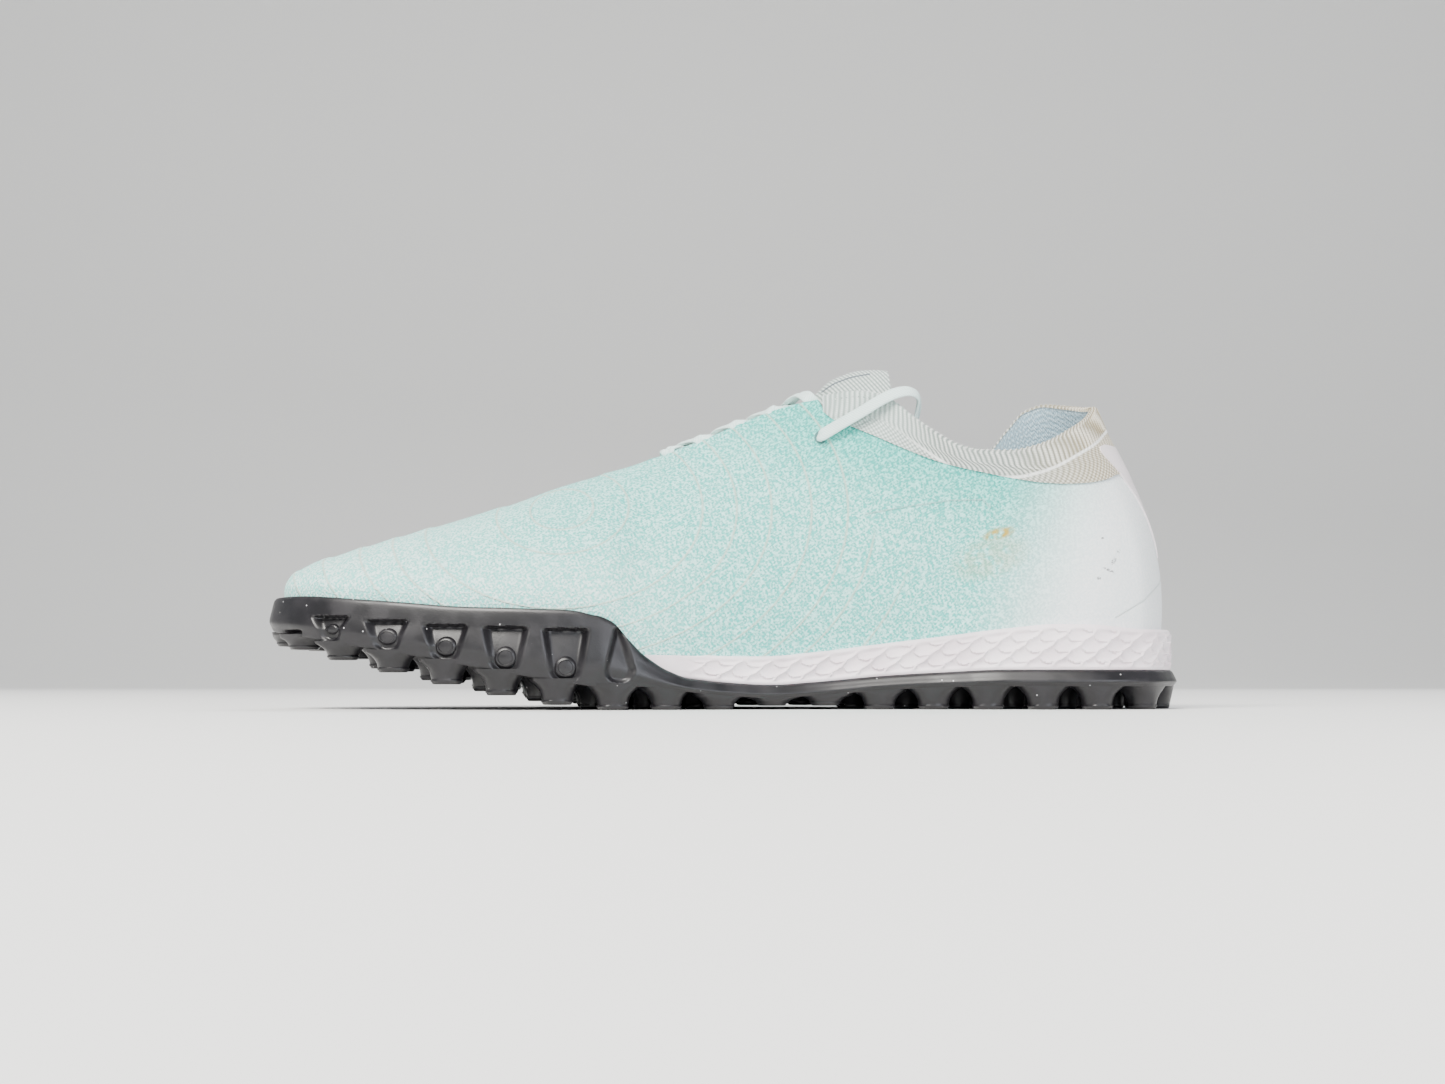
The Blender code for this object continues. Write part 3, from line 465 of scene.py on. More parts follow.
def skin(side, u, level):
    """A point of the last. level runs from -1, the feather line, over 0, where the rand or the foam
    ends, to 1, the top edge."""
    u, level = np.broadcast_arrays(np.asarray(u, float), np.asarray(level, float))
    foot_x, foot_y = outline(side, u, UPPER_INSET)
    foot_z = foam_top(u) + GAP
    start_z = np.maximum(rand_top(u), foam_top(u)) + FEATHER_CLEAR
    top_x, top_y, top_z = top_edge(side, u)
    height = top_z - start_z
    out_x = foot_x - top_x
    out_y = foot_y - top_y
    width = np.hypot(out_x, out_y)
    bulge_name = "bulge_in" if side == INNER else "bulge_out"
    bulge = read(SWELL, bulge_name, u) * BALL_WIDTH / width
    rise = read(SWELL, "rise", u) * height
    spread = read(SWELL, "spread", u)
    drop = read(SWELL, "drop", u) * height
    t = np.clip(level, 0, 1)
    w0 = (1 - t) ** 3
    w1 = 3 * t * (1 - t) ** 2
    w2 = 3 * t * t * (1 - t)
    w3 = t ** 3
    x = foot_x * (w0 + w1) + out_x * bulge * w1 + (top_x + out_x * spread) * w2 + top_x * w3
    y = foot_y * (w0 + w1) + out_y * bulge * w1 + (top_y + out_y * spread) * w2 + top_y * w3
    z = start_z * w0 + (start_z + rise) * w1 + (top_z - drop) * w2 + top_z * w3
    below = np.clip(-level, 0, 1)
    z = z + (foot_z - start_z) * below
    return np.stack([x, y, z], axis=-1)


def skin_normal(side, u, level):
    """Outward unit normal of the last."""
    small = 2e-3
    turn = angle(u)
    ahead = (1 - np.cos(np.minimum(turn + small, math.pi))) / 2
    back = (1 - np.cos(np.maximum(turn - small, 0))) / 2
    low = np.maximum(np.asarray(level, float) - small, -1)
    high = np.minimum(np.asarray(level, float) + small, 1)
    along = skin(side, ahead, level) - skin(side, back, level)
    upward = skin(side, u, high) - skin(side, u, low)
    normal = np.cross(along, upward) * -side
    return normal / np.linalg.norm(normal, axis=-1, keepdims=True)


def raised(side, u, level, offset):
    """A point offset from the last, outwards where offset is positive."""
    return skin(side, u, level) + np.asarray(offset, float)[..., None] * skin_normal(side, u, level)


def level_at_height(side, u, height):
    """The level at which each section reaches its height."""
    levels = np.linspace(0, 1, 121)
    u = np.atleast_1d(u)
    z = skin(side, u[:, None], levels[None, :])[..., 2]
    found = []
    for section, reach in zip(z, np.broadcast_to(height, u.shape)):
        end = section.argmax() + 1
        found.append(np.interp(min(reach, section.max()), section[:end], levels[:end]))
    return np.array(found)


def cuff_level(side, u):
    """Level of the cuff's lower edge."""
    return level_at_height(side, u, read(CUFF_LINE, "height", u) * HEEL_HEIGHT)


def soft_step(value, low, high):
    """0 below low, 1 above high and a smooth rise between."""
    share = np.clip((value - low) / (high - low), 0, 1)
    return share * share * (3 - 2 * share)


def even_places(count, *kept):
    """Places spaced evenly by length along the outline, the kept ones among them."""
    turn = np.linspace(0, math.pi, 3000)
    u = (1 - np.cos(turn)) / 2
    run = np.zeros(len(u))
    for side in (INNER, OUTER):
        x, y = outline(side, u, UPPER_INSET)
        run[1:] += np.cumsum(np.hypot(np.diff(x), np.diff(y))) / 2
    places = np.interp(np.linspace(0, run[-1], count), run, u)
    for place in kept:
        places[np.abs(places - place).argmin()] = place
    return places


def split_places(in_front, behind):
    """Even places in two spacings, one before the foam comes out of the rand and one behind it."""
    front = even_places(in_front)
    back = even_places(behind)
    return np.concatenate([front[front < FOAM_FLUSH_FROM], back[back >= FOAM_FLUSH_FROM]])


def run_along(points, axis):
    """Length along rows (axis 0) or columns (axis 1) of a grid of points."""
    step = np.linalg.norm(np.diff(points, axis=axis), axis=-1)
    first = np.zeros_like(np.take(step, [0], axis=axis))
    return np.concatenate([first, np.cumsum(step, axis=axis)], axis=axis)


def settings():
    return bpy.context.scene.turf_shoe


def srgb(colour):
    """A hex colour as an sRGB triple."""
    return tuple(int(colour[i: i + 2], 16) / 255 for i in (0, 2, 4))


def linear(colour):
    """An sRGB hex colour or triple in linear light."""
    if isinstance(colour, str):
        colour = srgb(colour)
    return tuple(c / 12.92 if c <= 0.04045 else ((c + 0.055) / 1.055) ** 2.4 for c in colour)


def select_only(*objects):
    bpy.ops.object.select_all(action="DESELECT")
    for one in objects:
        one.select_set(True)
    bpy.context.view_layer.objects.active = objects[-1]


def grid_on(name, points, uv=None):
    """A grid primitive whose vertices are laid on the given rows of points, with a UV map in metres."""
    rows, columns = points.shape[:2]
    bpy.ops.object.select_all(action="DESELECT")
    bpy.ops.mesh.primitive_grid_add(x_subdivisions=columns - 1, y_subdivisions=rows - 1)
    made = bpy.context.object
    made.name = name
    made.data.name = name
    made.data.vertices.foreach_set("co", np.ascontiguousarray(points, np.float32).ravel())
    if uv is None:
        uv = np.stack([run_along(points, 0), run_along(points, 1)], axis=-1)
    corners = np.zeros(len(made.data.loops), np.int32)
    made.data.loops.foreach_get("vertex_index", corners)
    made.data.uv_layers[0].data.foreach_set("uv", uv.reshape(-1, 2)[corners].astype(np.float32).ravel())
    made.data.update()
    return made


def from_arrays(name, parts):
    """One mesh from many (points, faces) pairs, for pieces that repeat."""
    points = []
    faces = []
    for part_points, part_faces in parts:
        start = len(points)
        points += [tuple(p) for p in part_points]
        faces += [tuple(start + i for i in face) for face in part_faces]
    mesh = bpy.data.meshes.new(name)
    mesh.from_pydata(points, [], faces)
    mesh.uv_layers.new(name="UVMap")
    made = bpy.data.objects.new(name, mesh)
    bpy.context.scene.collection.objects.link(made)
    return made


def weld(made):
    """Merge doubled points and turn the faces outwards."""
    select_only(made)
    bpy.ops.object.mode_set(mode="EDIT")
    bpy.ops.mesh.select_all(action="SELECT")
    bpy.ops.mesh.remove_doubles(threshold=2e-6)
    bpy.ops.mesh.normals_make_consistent(inside=False)
    bpy.ops.object.mode_set(mode="OBJECT")


def flip(made):
    made.data.flip_normals()


def apply_modifier(made, kind, **values):
    select_only(made)
    step = made.modifiers.new(kind.lower(), kind)
    for name, value in values.items():
        setattr(step, name, value)
    bpy.ops.object.modifier_apply(modifier=step.name)


def join(name, *objects):
    select_only(*objects)
    bpy.ops.object.join()
    made = bpy.context.object
    made.name = name
    made.data.name = name
    return made


def shade(made, degrees=50):
    select_only(made)
    bpy.ops.object.shade_smooth_by_angle(angle=math.radians(degrees))


def finish_piece(made):
    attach(made, "root")
    return made


# Materials

def node(tree, kind, inputs=None, **values):
    """One shader node: inputs are sockets by name or number, linked where the value is a socket."""
    made = tree.nodes.new(kind)
    for name, value in values.items():
        setattr(made, name, value)
    for name, value in (inputs or {}).items():
        if isinstance(value, bpy.types.NodeSocket):
            tree.links.new(value, made.inputs[name])
        else:
            made.inputs[name].default_value = value
    return made


def maths(tree, operation, *values):
    made = node(tree, "ShaderNodeMath", dict(enumerate(values)), operation=operation)
    return made.outputs[0]


def ramp(tree, value, low, high, start=0.0, end=1.0):
    """A smooth step of a value between low and high."""
    made = node(
        tree, "ShaderNodeMapRange",
        {"Value": value, "From Min": low, "From Max": high, "To Min": start, "To Max": end},
        interpolation_type="SMOOTHSTEP",
    )
    return made.outputs[0]


def mix(tree, factor, first, second):
    made = node(tree, "ShaderNodeMix", {0: factor}, data_type="RGBA")
    for slot_number, value in ((6, first), (7, second)):
        if isinstance(value, bpy.types.NodeSocket):
            tree.links.new(value, made.inputs[slot_number])
        else:
            made.inputs[slot_number].default_value = (*linear(value), 1.0)
    return made.outputs[2]


def new_material(name):
    made = bpy.data.materials.new(name)
    made.use_nodes = True
    return made, made.node_tree, made.node_tree.nodes["Principled BSDF"]


def object_axes(tree):
    """Object coordinates in metres, one socket an axis, and the whole vector."""
    place = node(tree, "ShaderNodeTexCoord").outputs["Object"]
    split = node(tree, "ShaderNodeSeparateXYZ", {0: place})
    return split.outputs[0], split.outputs[1], split.outputs[2], place


def map_axes(tree):
    """The UV map in millimetres, one socket an axis."""
    place = node(tree, "ShaderNodeUVMap", uv_map="UVMap").outputs[0]
    split = node(tree, "ShaderNodeSeparateXYZ", {0: place})
    along = maths(tree, "MULTIPLY", split.outputs[0], 1000.0)
    return along, maths(tree, "MULTIPLY", split.outputs[1], 1000.0)


def noise(tree, vector, size, detail=2.0):
    """Noise whose lumps are about size metres."""
    made = node(tree, "ShaderNodeTexNoise", {"Vector": vector, "Scale": 1 / size, "Detail": detail})
    return made.outputs["Fac"]


def wave(tree, value, pitch, phase=0.0):
    """A cosine from 0 to 1 of a length, both in the same unit."""
    turn = maths(tree, "MULTIPLY_ADD", value, 2 * math.pi / pitch, phase)
    return maths(tree, "MULTIPLY_ADD", maths(tree, "COSINE", turn), 0.5, 0.5)


def knit_cells(tree, along, up, pitch, row, wander):
    """Stitches in offset rows: 1 in the middle of a stitch, 0 between."""
    bent_along = maths(tree, "ADD", along, wander)
    bent_up = maths(tree, "ADD", up, wander)
    first = wave(tree, bent_along, pitch)
    second = wave(tree, bent_up, row * 2)
    both = maths(tree, "MULTIPLY", first, second)
    third = wave(tree, bent_along, pitch, math.pi)
    fourth = wave(tree, bent_up, row * 2, math.pi)
    other = maths(tree, "MULTIPLY", third, fourth)
    return maths(tree, "MAXIMUM", both, other)


def sum_of_squares(tree, first, second):
    square = maths(tree, "MULTIPLY", first, first)
    return maths(tree, "ADD", square, maths(tree, "MULTIPLY", second, second))


def spot(tree, x, z, centre, size, tilt=0.0):
    """1 at a place in the side view, falling to 0 at an ellipse about it, in metres."""
    over_x = maths(tree, "SUBTRACT", x, centre[0])
    over_z = maths(tree, "SUBTRACT", z, centre[1])
    c = math.cos(tilt)
    s = math.sin(tilt)
    offs = []
    for share_x, share_z, reach in ((c, s, size[0]), (-s, c, size[1])):
        first = maths(tree, "MULTIPLY", over_x, share_x / reach)
        both = maths(tree, "ADD", first, maths(tree, "MULTIPLY", over_z, share_z / reach))
        offs.append(both)
    return ramp(tree, sum_of_squares(tree, *offs), 1.0, 0.1)


def bump(tree, height, distance, strength=1.0, normal=None):
    inputs = {"Height": height, "Distance": distance, "Strength": strength}
    if normal is not None:
        inputs["Normal"] = normal
    return node(tree, "ShaderNodeBump", inputs).outputs[0]


def ring_lines(tree, x, z):
    """Thin contour lines of the film, 1 on a line."""
    over_x = maths(tree, "SUBTRACT", x, RING_CENTRE[0])
    over_z = maths(tree, "MULTIPLY", maths(tree, "SUBTRACT", z, RING_CENTRE[1]), RING_STRETCH)
    square = sum_of_squares(tree, over_x, over_z)
    radius = maths(tree, "MULTIPLY", maths(tree, "SQRT", square), 1000.0)
    line = None
    for ring in RING_RADII:
        off = maths(tree, "ABSOLUTE", maths(tree, "SUBTRACT", radius, float(ring)))
        one = ramp(tree, off, 0.6, 0.1)
        if ring > RING_FULL:
            one = maths(tree, "MULTIPLY", one, ramp(tree, z, 58 * MM, 50 * MM))
        line = one if line is None else maths(tree, "MAXIMUM", line, one)
    return line


def stroke(tree, x, z, start, end, width):
    """A straight thin line in the side view, 1 on the line; the places are in metres."""
    length = math.dist(start, end)
    ahead = ((end[0] - start[0]) / length, (end[1] - start[1]) / length)
    over_x = maths(tree, "SUBTRACT", x, start[0])
    over_z = maths(tree, "SUBTRACT", z, start[1])
    first = maths(tree, "MULTIPLY", over_x, ahead[0])
    run = maths(tree, "MULTIPLY_ADD", over_z, ahead[1], first)
    clamped = node(tree, "ShaderNodeClamp", {"Value": run, "Min": 0.0, "Max": length}).outputs[0]
    beyond = maths(tree, "SUBTRACT", run, clamped)
    second = maths(tree, "MULTIPLY", over_z, ahead[0])
    off = maths(tree, "MULTIPLY_ADD", over_x, -ahead[1], second)
    square = sum_of_squares(tree, off, beyond)
    far = maths(tree, "MULTIPLY", maths(tree, "SQRT", square), 1000.0)
    return ramp(tree, far, width / MM / 2, width / MM / 8)


def strokes(tree, x, z, points, width):
    """A thin line through several places."""
    line = None
    for start, end in zip(points, points[1:]):
        one = stroke(tree, x, z, [c * MM for c in start], [c * MM for c in end], width)
        line = one if line is None else maths(tree, "MAXIMUM", line, one)
    return line


def seam_lines(tree, x, z):
    """The edge of the quarter's film and the seam of the heel's counter."""
    return maths(
        tree, "MAXIMUM",
        strokes(tree, x, z, FILM_EDGE, 0.8 * MM),
        strokes(tree, x, z, COUNTER_SEAM, 0.9 * MM),
    )


def mint_knit():
    """Fine two-colour polyester knit under a thin film. The film makes it satin towards the heel."""
    size = settings()
    made, tree, shader = new_material("mint_knit")
    x, y, z, place = object_axes(tree)
    along, up = map_axes(tree)
    wander = maths(tree, "MULTIPLY_ADD", noise(tree, place, 3 * MM), 0.9, -0.45)
    stitch = knit_cells(tree, along, up, size.stitch_width / MM, size.stitch_height / MM, wander)
    speckle = noise(tree, place, 0.8 * MM, 3.0)
    grain = ramp(tree, speckle, 0.42, 0.59)
    pattern = maths(tree, "ADD", maths(tree, "MULTIPLY", stitch, 0.35), maths(tree, "MULTIPLY", grain, 0.7))

    toe = ramp(tree, x, -25 * MM, -120 * MM)
    low = ramp(tree, z, 62 * MM, 34 * MM)
    forefoot = ramp(tree, x, 10 * MM, -50 * MM)
    pale = maths(tree, "MAXIMUM", toe, maths(tree, "MULTIPLY", low, forefoot))
    light = mix(tree, pale, size.knit_light, "E6FEFA")
    dark = mix(tree, pale, size.knit_dark, "74D8CE")
    near_cuff = maths(tree, "MULTIPLY_ADD", x, 0.28, z)
    behind = ramp(tree, x, -30 * MM, 40 * MM)
    deep = maths(tree, "MULTIPLY", ramp(tree, near_cuff, 66 * MM, 104 * MM), behind)
    light = mix(tree, deep, light, "7CE8DC")
    dark = mix(tree, deep, dark, "0AA095")
    cloth = mix(tree, pattern, dark, light)
    slant = maths(tree, "ADD", x, maths(tree, "MULTIPLY", z, -0.32))
    film = ramp(tree, slant, 62 * MM, 104 * MM)
    heel = mix(tree, maths(tree, "MULTIPLY", pattern, 0.6), "E6EEF1", "FAFBFB")
    cloth = mix(tree, film, cloth, heel)

    line = ring_lines(tree, x, z)
    quiet = maths(tree, "MULTIPLY", ramp(tree, x, 62 * MM, 48 * MM), line)
    seam = seam_lines(tree, x, z)
    cloth = mix(tree, maths(tree, "MULTIPLY", quiet, 0.6), cloth, "CDD2C2")
    cloth = mix(tree, maths(tree, "MULTIPLY", seam, 0.4), cloth, "9FADAD")
    inner_side = ramp(tree, y, -6 * MM, -12 * MM)
    stain = spot(tree, x, z, (85 * MM, 54.5 * MM), (6 * MM, 2.2 * MM), 0.25)
    faint = spot(tree, x, z, (82 * MM, 47 * MM), (15 * MM, 8 * MM), 0.3)
    patchy = ramp(tree, noise(tree, place, 2.5 * MM, 3.0), 0.3, 0.55)
    dirt = maths(tree, "ADD", maths(tree, "MULTIPLY", stain, 0.95), maths(tree, "MULTIPLY", faint, 0.3))
    dirt = maths(tree, "MULTIPLY", maths(tree, "MULTIPLY", dirt, patchy), inner_side)
    cloth = mix(tree, dirt, cloth, "B79A3A")
    scuff = None
    for mark_x, mark_z, length, width, tilt in zip(*SCUFFS.values()):
        one = spot(tree, x, z, (mark_x * MM, mark_z * MM), (length * MM, width * MM), tilt)
        scuff = one if scuff is None else maths(tree, "MAXIMUM", scuff, one)
    broken = ramp(tree, noise(tree, place, 0.6 * MM), 0.42, 0.55)
    scuff = maths(tree, "MULTIPLY", maths(tree, "MULTIPLY", scuff, broken), inner_side)
    cloth = mix(tree, maths(tree, "MULTIPLY", scuff, 0.85), cloth, "3A3D40")
    tree.links.new(cloth, shader.inputs["Base Color"])

    tree.links.new(ramp(tree, film, 0.0, 1.0, 0.72, 0.42), shader.inputs["Roughness"])
    knit_height = maths(tree, "MULTIPLY", pattern, ramp(tree, film, 0.0, 1.0, 1.0, 0.35))
    normal = bump(tree, knit_height, 0.22 * MM)
    normal = bump(tree, quiet, 0.16 * MM, 1.0, normal)
    normal = bump(tree, seam, 0.2 * MM, 1.0, normal)
    tree.links.new(normal, shader.inputs["Normal"])
    shader.inputs["Sheen Weight"].default_value = 0.15
    shader.inputs["Specular IOR Level"].default_value = 0.35
    return made


def plain_cloth(name, colour, shadow, pitch, height, roughness=0.85):
    """A knit or woven cloth of one colour with a small grain."""
    made, tree, shader = new_material(name)
    place = object_axes(tree)[3]
    along, up = map_axes(tree)
    wander = maths(tree, "MULTIPLY_ADD", noise(tree, place, 4 * MM), 0.5, -0.25)
    cells = knit_cells(tree, along, up, pitch / MM, pitch / MM * 0.7, wander)
    tree.links.new(mix(tree, cells, shadow, colour), shader.inputs["Base Color"])
    tree.links.new(bump(tree, cells, height), shader.inputs["Normal"])
    shader.inputs["Roughness"].default_value = roughness
    shader.inputs["Sheen Weight"].default_value = 0.2
    return made


def collar_knit():
    """Ribbed knit, coarse over the folded rim and fine below it, greyer towards the heel's corner; its
    hollows hold painted shade.
    """
    size = settings()
    made, tree, shader = new_material("ribbed_knit")
    x, _, _, place = object_axes(tree)
    along, up = map_axes(tree)
    rib = wave(tree, along, size.rib_pitch / MM)
    wander = maths(tree, "MULTIPLY_ADD", noise(tree, place, 5 * MM), 0.4, -0.2)
    cells = knit_cells(tree, along, up, 1.7, 0.8, wander)
    below = node(tree, "ShaderNodeAttribute", attribute_name="below_rim").outputs["Fac"]
    below = maths(tree, "MULTIPLY", below, 1000.0)
    band = size.rib_band / MM
    folded = ramp(tree, below, band + 0.6, band - 0.6)
    fine = wave(tree, up, 0.75)
    ribbed = maths(tree, "MULTIPLY", rib, maths(tree, "MULTIPLY_ADD", fine, 0.25, 0.75))
    pattern = node(tree, "ShaderNodeMix", {0: folded, 2: cells, 3: ribbed}).outputs[0]
    seam = ramp(tree, maths(tree, "ABSOLUTE", maths(tree, "SUBTRACT", below, band)), 0.75, 0.2)
    heel = ramp(tree, x, 80 * MM, 125 * MM)
    front = ramp(tree, x, 70 * MM, 48 * MM)
    # The light colours are the yarn on the tops of the ribs and stitches; the dark colours are painted
    # shade in the hollows between them.
    light = mix(tree, heel, size.collar_light, "E4DDCB")
    dark = mix(tree, heel, size.collar_rib_shade, "8A7D5E")
    light = mix(tree, front, light, "E0EAE6")
    dark = mix(tree, front, dark, "94A49F")
    cloth = mix(tree, pattern, dark, light)
    cloth = mix(tree, maths(tree, "MULTIPLY", seam, maths(tree, "SUBTRACT", 1.0, front)), cloth, "F1F2EF")
    tree.links.new(cloth, shader.inputs["Base Color"])
    tree.links.new(bump(tree, pattern, 0.3 * MM), shader.inputs["Normal"])
    shader.inputs["Roughness"].default_value = 0.85
    shader.inputs["Sheen Weight"].default_value = 0.25
    return made


def tongue_knit():
    """Fine ribs that run slantwise over the front panel, with painted shade between them."""
    size = settings()
    made, tree, shader = new_material("tongue_knit")
    x, y, z, _ = object_axes(tree)
    slanted = maths(tree, "ADD", maths(tree, "MULTIPLY", x, 0.85), maths(tree, "MULTIPLY", z, 0.55))
    rib = wave(tree, maths(tree, "MULTIPLY", slanted, 1000.0), size.fine_rib_pitch / MM)
    across = maths(tree, "ADD", maths(tree, "MULTIPLY", x, -0.5), maths(tree, "MULTIPLY", z, 0.85))
    dash = wave(tree, maths(tree, "MULTIPLY", across, 1000.0), 1.5)
    pattern = maths(tree, "MULTIPLY", rib, maths(tree, "MULTIPLY_ADD", dash, 0.35, 0.65))
    # Painted shade: the dark colour lies in the hollows between the ribs, the light one on their tops.
    cloth = mix(tree, pattern, "82958F", "E9F1ED")
    # A thin dark line drawn on the inner side of the front panel.
    dark_line = strokes(tree, x, z, TONGUE_DARK_LINE, 0.9 * MM)
    dark_line = maths(tree, "MULTIPLY", dark_line, ramp(tree, y, 0.0, -4 * MM))
    cloth = mix(tree, dark_line, cloth, "3F4E5C")
    tree.links.new(cloth, shader.inputs["Base Color"])
    tree.links.new(bump(tree, pattern, 0.3 * MM), shader.inputs["Normal"])
    shader.inputs["Roughness"].default_value = 0.85
    shader.inputs["Sheen Weight"].default_value = 0.25
    return made


def heel_film():
    """Thin satin film, pinkish white."""
    made, tree, shader = new_material("heel_film")
    shader.inputs["Base Color"].default_value = (*linear("EFE6E9"), 1.0)
    shader.inputs["Roughness"].default_value = 0.4
    shader.inputs["Coat Weight"].default_value = 0.15
    place = object_axes(tree)[3]
    tree.links.new(bump(tree, noise(tree, place, 1.2 * MM), 0.05 * MM), shader.inputs["Normal"])
    return made


def moulded_foam():
    """Matt moulded foam with a fine skin."""
    made, tree, shader = new_material("moulded_foam")
    place = object_axes(tree)[3]
    cloud = ramp(tree, noise(tree, place, 14 * MM), 0.3, 0.7)
    tree.links.new(mix(tree, cloud, "EBDDE3", settings().foam_colour), shader.inputs["Base Color"])
    tree.links.new(bump(tree, noise(tree, place, 0.7 * MM), 0.06 * MM), shader.inputs["Normal"])
    shader.inputs["Roughness"].default_value = 0.5
    shader.inputs["Subsurface Weight"].default_value = 0.1
    shader.inputs["Subsurface Radius"].default_value = (2 * MM, 1.5 * MM, 1.5 * MM)
    return made


def black_rubber():
    """Satin moulded rubber, nearly black, with light dust specks."""
    made, tree, shader = new_material("black_rubber")
    place = object_axes(tree)[3]
    grains = node(tree, "ShaderNodeTexVoronoi", {"Vector": place, "Scale": 1 / (3.2 * MM)})
    random = node(tree, "ShaderNodeSeparateColor", {0: grains.outputs["Color"]}).outputs[0]
    chosen = ramp(tree, random, 0.6, 0.62)
    speck = maths(tree, "MULTIPLY", ramp(tree, grains.outputs["Distance"], 0.085, 0.05), chosen)
    haze = ramp(tree, noise(tree, place, 9 * MM, 3.0), 0.35, 0.7)
    base = mix(tree, haze, settings().rubber_colour, "1B191D")
    dusty = mix(tree, maths(tree, "MULTIPLY", speck, 0.8), base, "D8D8DA")
    tree.links.new(dusty, shader.inputs["Base Color"])
    tree.links.new(ramp(tree, haze, 0.0, 1.0, 0.34, 0.48), shader.inputs["Roughness"])
    tree.links.new(bump(tree, noise(tree, place, 0.5 * MM), 0.03 * MM), shader.inputs["Normal"])
    shader.inputs["Specular IOR Level"].default_value = 0.5
    shader.inputs["Coat Weight"].default_value = 0.12
    shader.inputs["Coat Roughness"].default_value = 0.25
    return made


def plain(name, colour, roughness):
    made, tree, shader = new_material(name)
    shader.inputs["Base Color"].default_value = (*linear(colour), 1.0)
    shader.inputs["Roughness"].default_value = roughness
    return made


# Upper

def ring_radius(x, z):
    return np.hypot(x - RING_CENTRE[0], RING_STRETCH * (z - RING_CENTRE[1]))


def film_relief(points):
    """Height of the film's contour steps: each step is full at its line and dies away outwards."""
    radius = ring_radius(points[..., 0], points[..., 2])
    rings = np.array(RING_RADII) * MM
    relief = np.zeros(radius.shape)
    for first, after in zip(rings, np.append(rings[1:], rings[-1] + 15 * MM)):
        share = np.clip((radius - first) / (after - first), 0, 1)
        step = soft_step(radius, first - 2.2 * MM, first + 0.4 * MM) * (1 - share) ** 1.5
        near = (radius > first - 2.2 * MM) & (radius <= after)
        relief = np.where(near, np.maximum(relief, step), relief)
    return relief * soft_step(points[..., 0], 62 * MM, 30 * MM)


def upper_rows(side, places, columns):
    """Points of one side of the upper, from the feather line to the throat's or the cuff's edge."""
    size = settings()
    top = np.ones(len(places))
    behind = places >= CUFF_FRONT
    top[behind] = cuff_level(side, places[behind]) + CUFF_LAP
    share = np.linspace(0, 1, columns)
    levels = np.concatenate([np.full((len(places), 1), -1.0), top[:, None] * share[None, :]], axis=1)
    points = skin(side, places[:, None], levels)
    normals = skin_normal(side, places[:, None], levels)
    fade = soft_step(levels, 0.0, 0.08) * soft_step(top[:, None] - levels, 0.0, 0.04)
    points[:, 0, 2] -= FEATHER_TUCK
    return points + normals * (film_relief(points) * fade * size.film_step)[..., None]


def joined_sides(inner, outer):
    """Rows from the toe to the heel on the inner side and back on the outer side."""
    return np.concatenate([inner, outer[::-1][1:]])


def make_upper():
    size = settings()
    places = even_places(UPPER_PLACES, THROAT_FRONT, CUFF_FRONT)
    sides = [upper_rows(side, places, UPPER_COLUMNS) for side in (INNER, OUTER)]
    points = joined_sides(*sides)
    made = grid_on("knit_upper", points)
    weld(made)
    made.data.materials.append(mint_knit())
    made.data.materials.append(
        plain_cloth("upper_lining", size.lining_colour, "9DB4BA", 1.2 * MM, 0.15 * MM)
    )
    apply_modifier(
        made, "SOLIDIFY", thickness=size.upper_wall, offset=-1.0, use_even_offset=False,
        material_offset=1, material_offset_rim=0,
    )
    shade(made, 60)
    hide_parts("upper")
    return finish_piece(made)


# Collar

def folded_wall(side, places, levels, wall, proud, relief):
    """Sections of a wall with a round fold on top: up outside, over the rim, down inside."""
    outer_points = raised(side, places[:, None], levels, proud + relief)
    rim = skin(side, places, np.ones(len(places)))
    away = skin_normal(side, places, np.ones(len(places)))
    below = skin(side, places, np.full(len(places), 0.97))
    upward = rim - below
    upward -= away * np.sum(upward * away, axis=-1, keepdims=True)
    upward /= np.linalg.norm(upward, axis=-1, keepdims=True)
    middle = rim + away * (proud - wall / 2)
    fold = []
    for turn in np.linspace(0, math.pi, FOLD_COLUMNS + 2)[1:-1]:
        reach = wall / 2 + relief[:, -1:]
        fold.append(middle + reach * (math.cos(turn) * away + math.sin(turn) * upward))
    inner_points = raised(side, places[:, None], levels[:, ::-1], proud - wall)
    return np.concatenate([outer_points, np.stack(fold, axis=1), inner_points], axis=1)


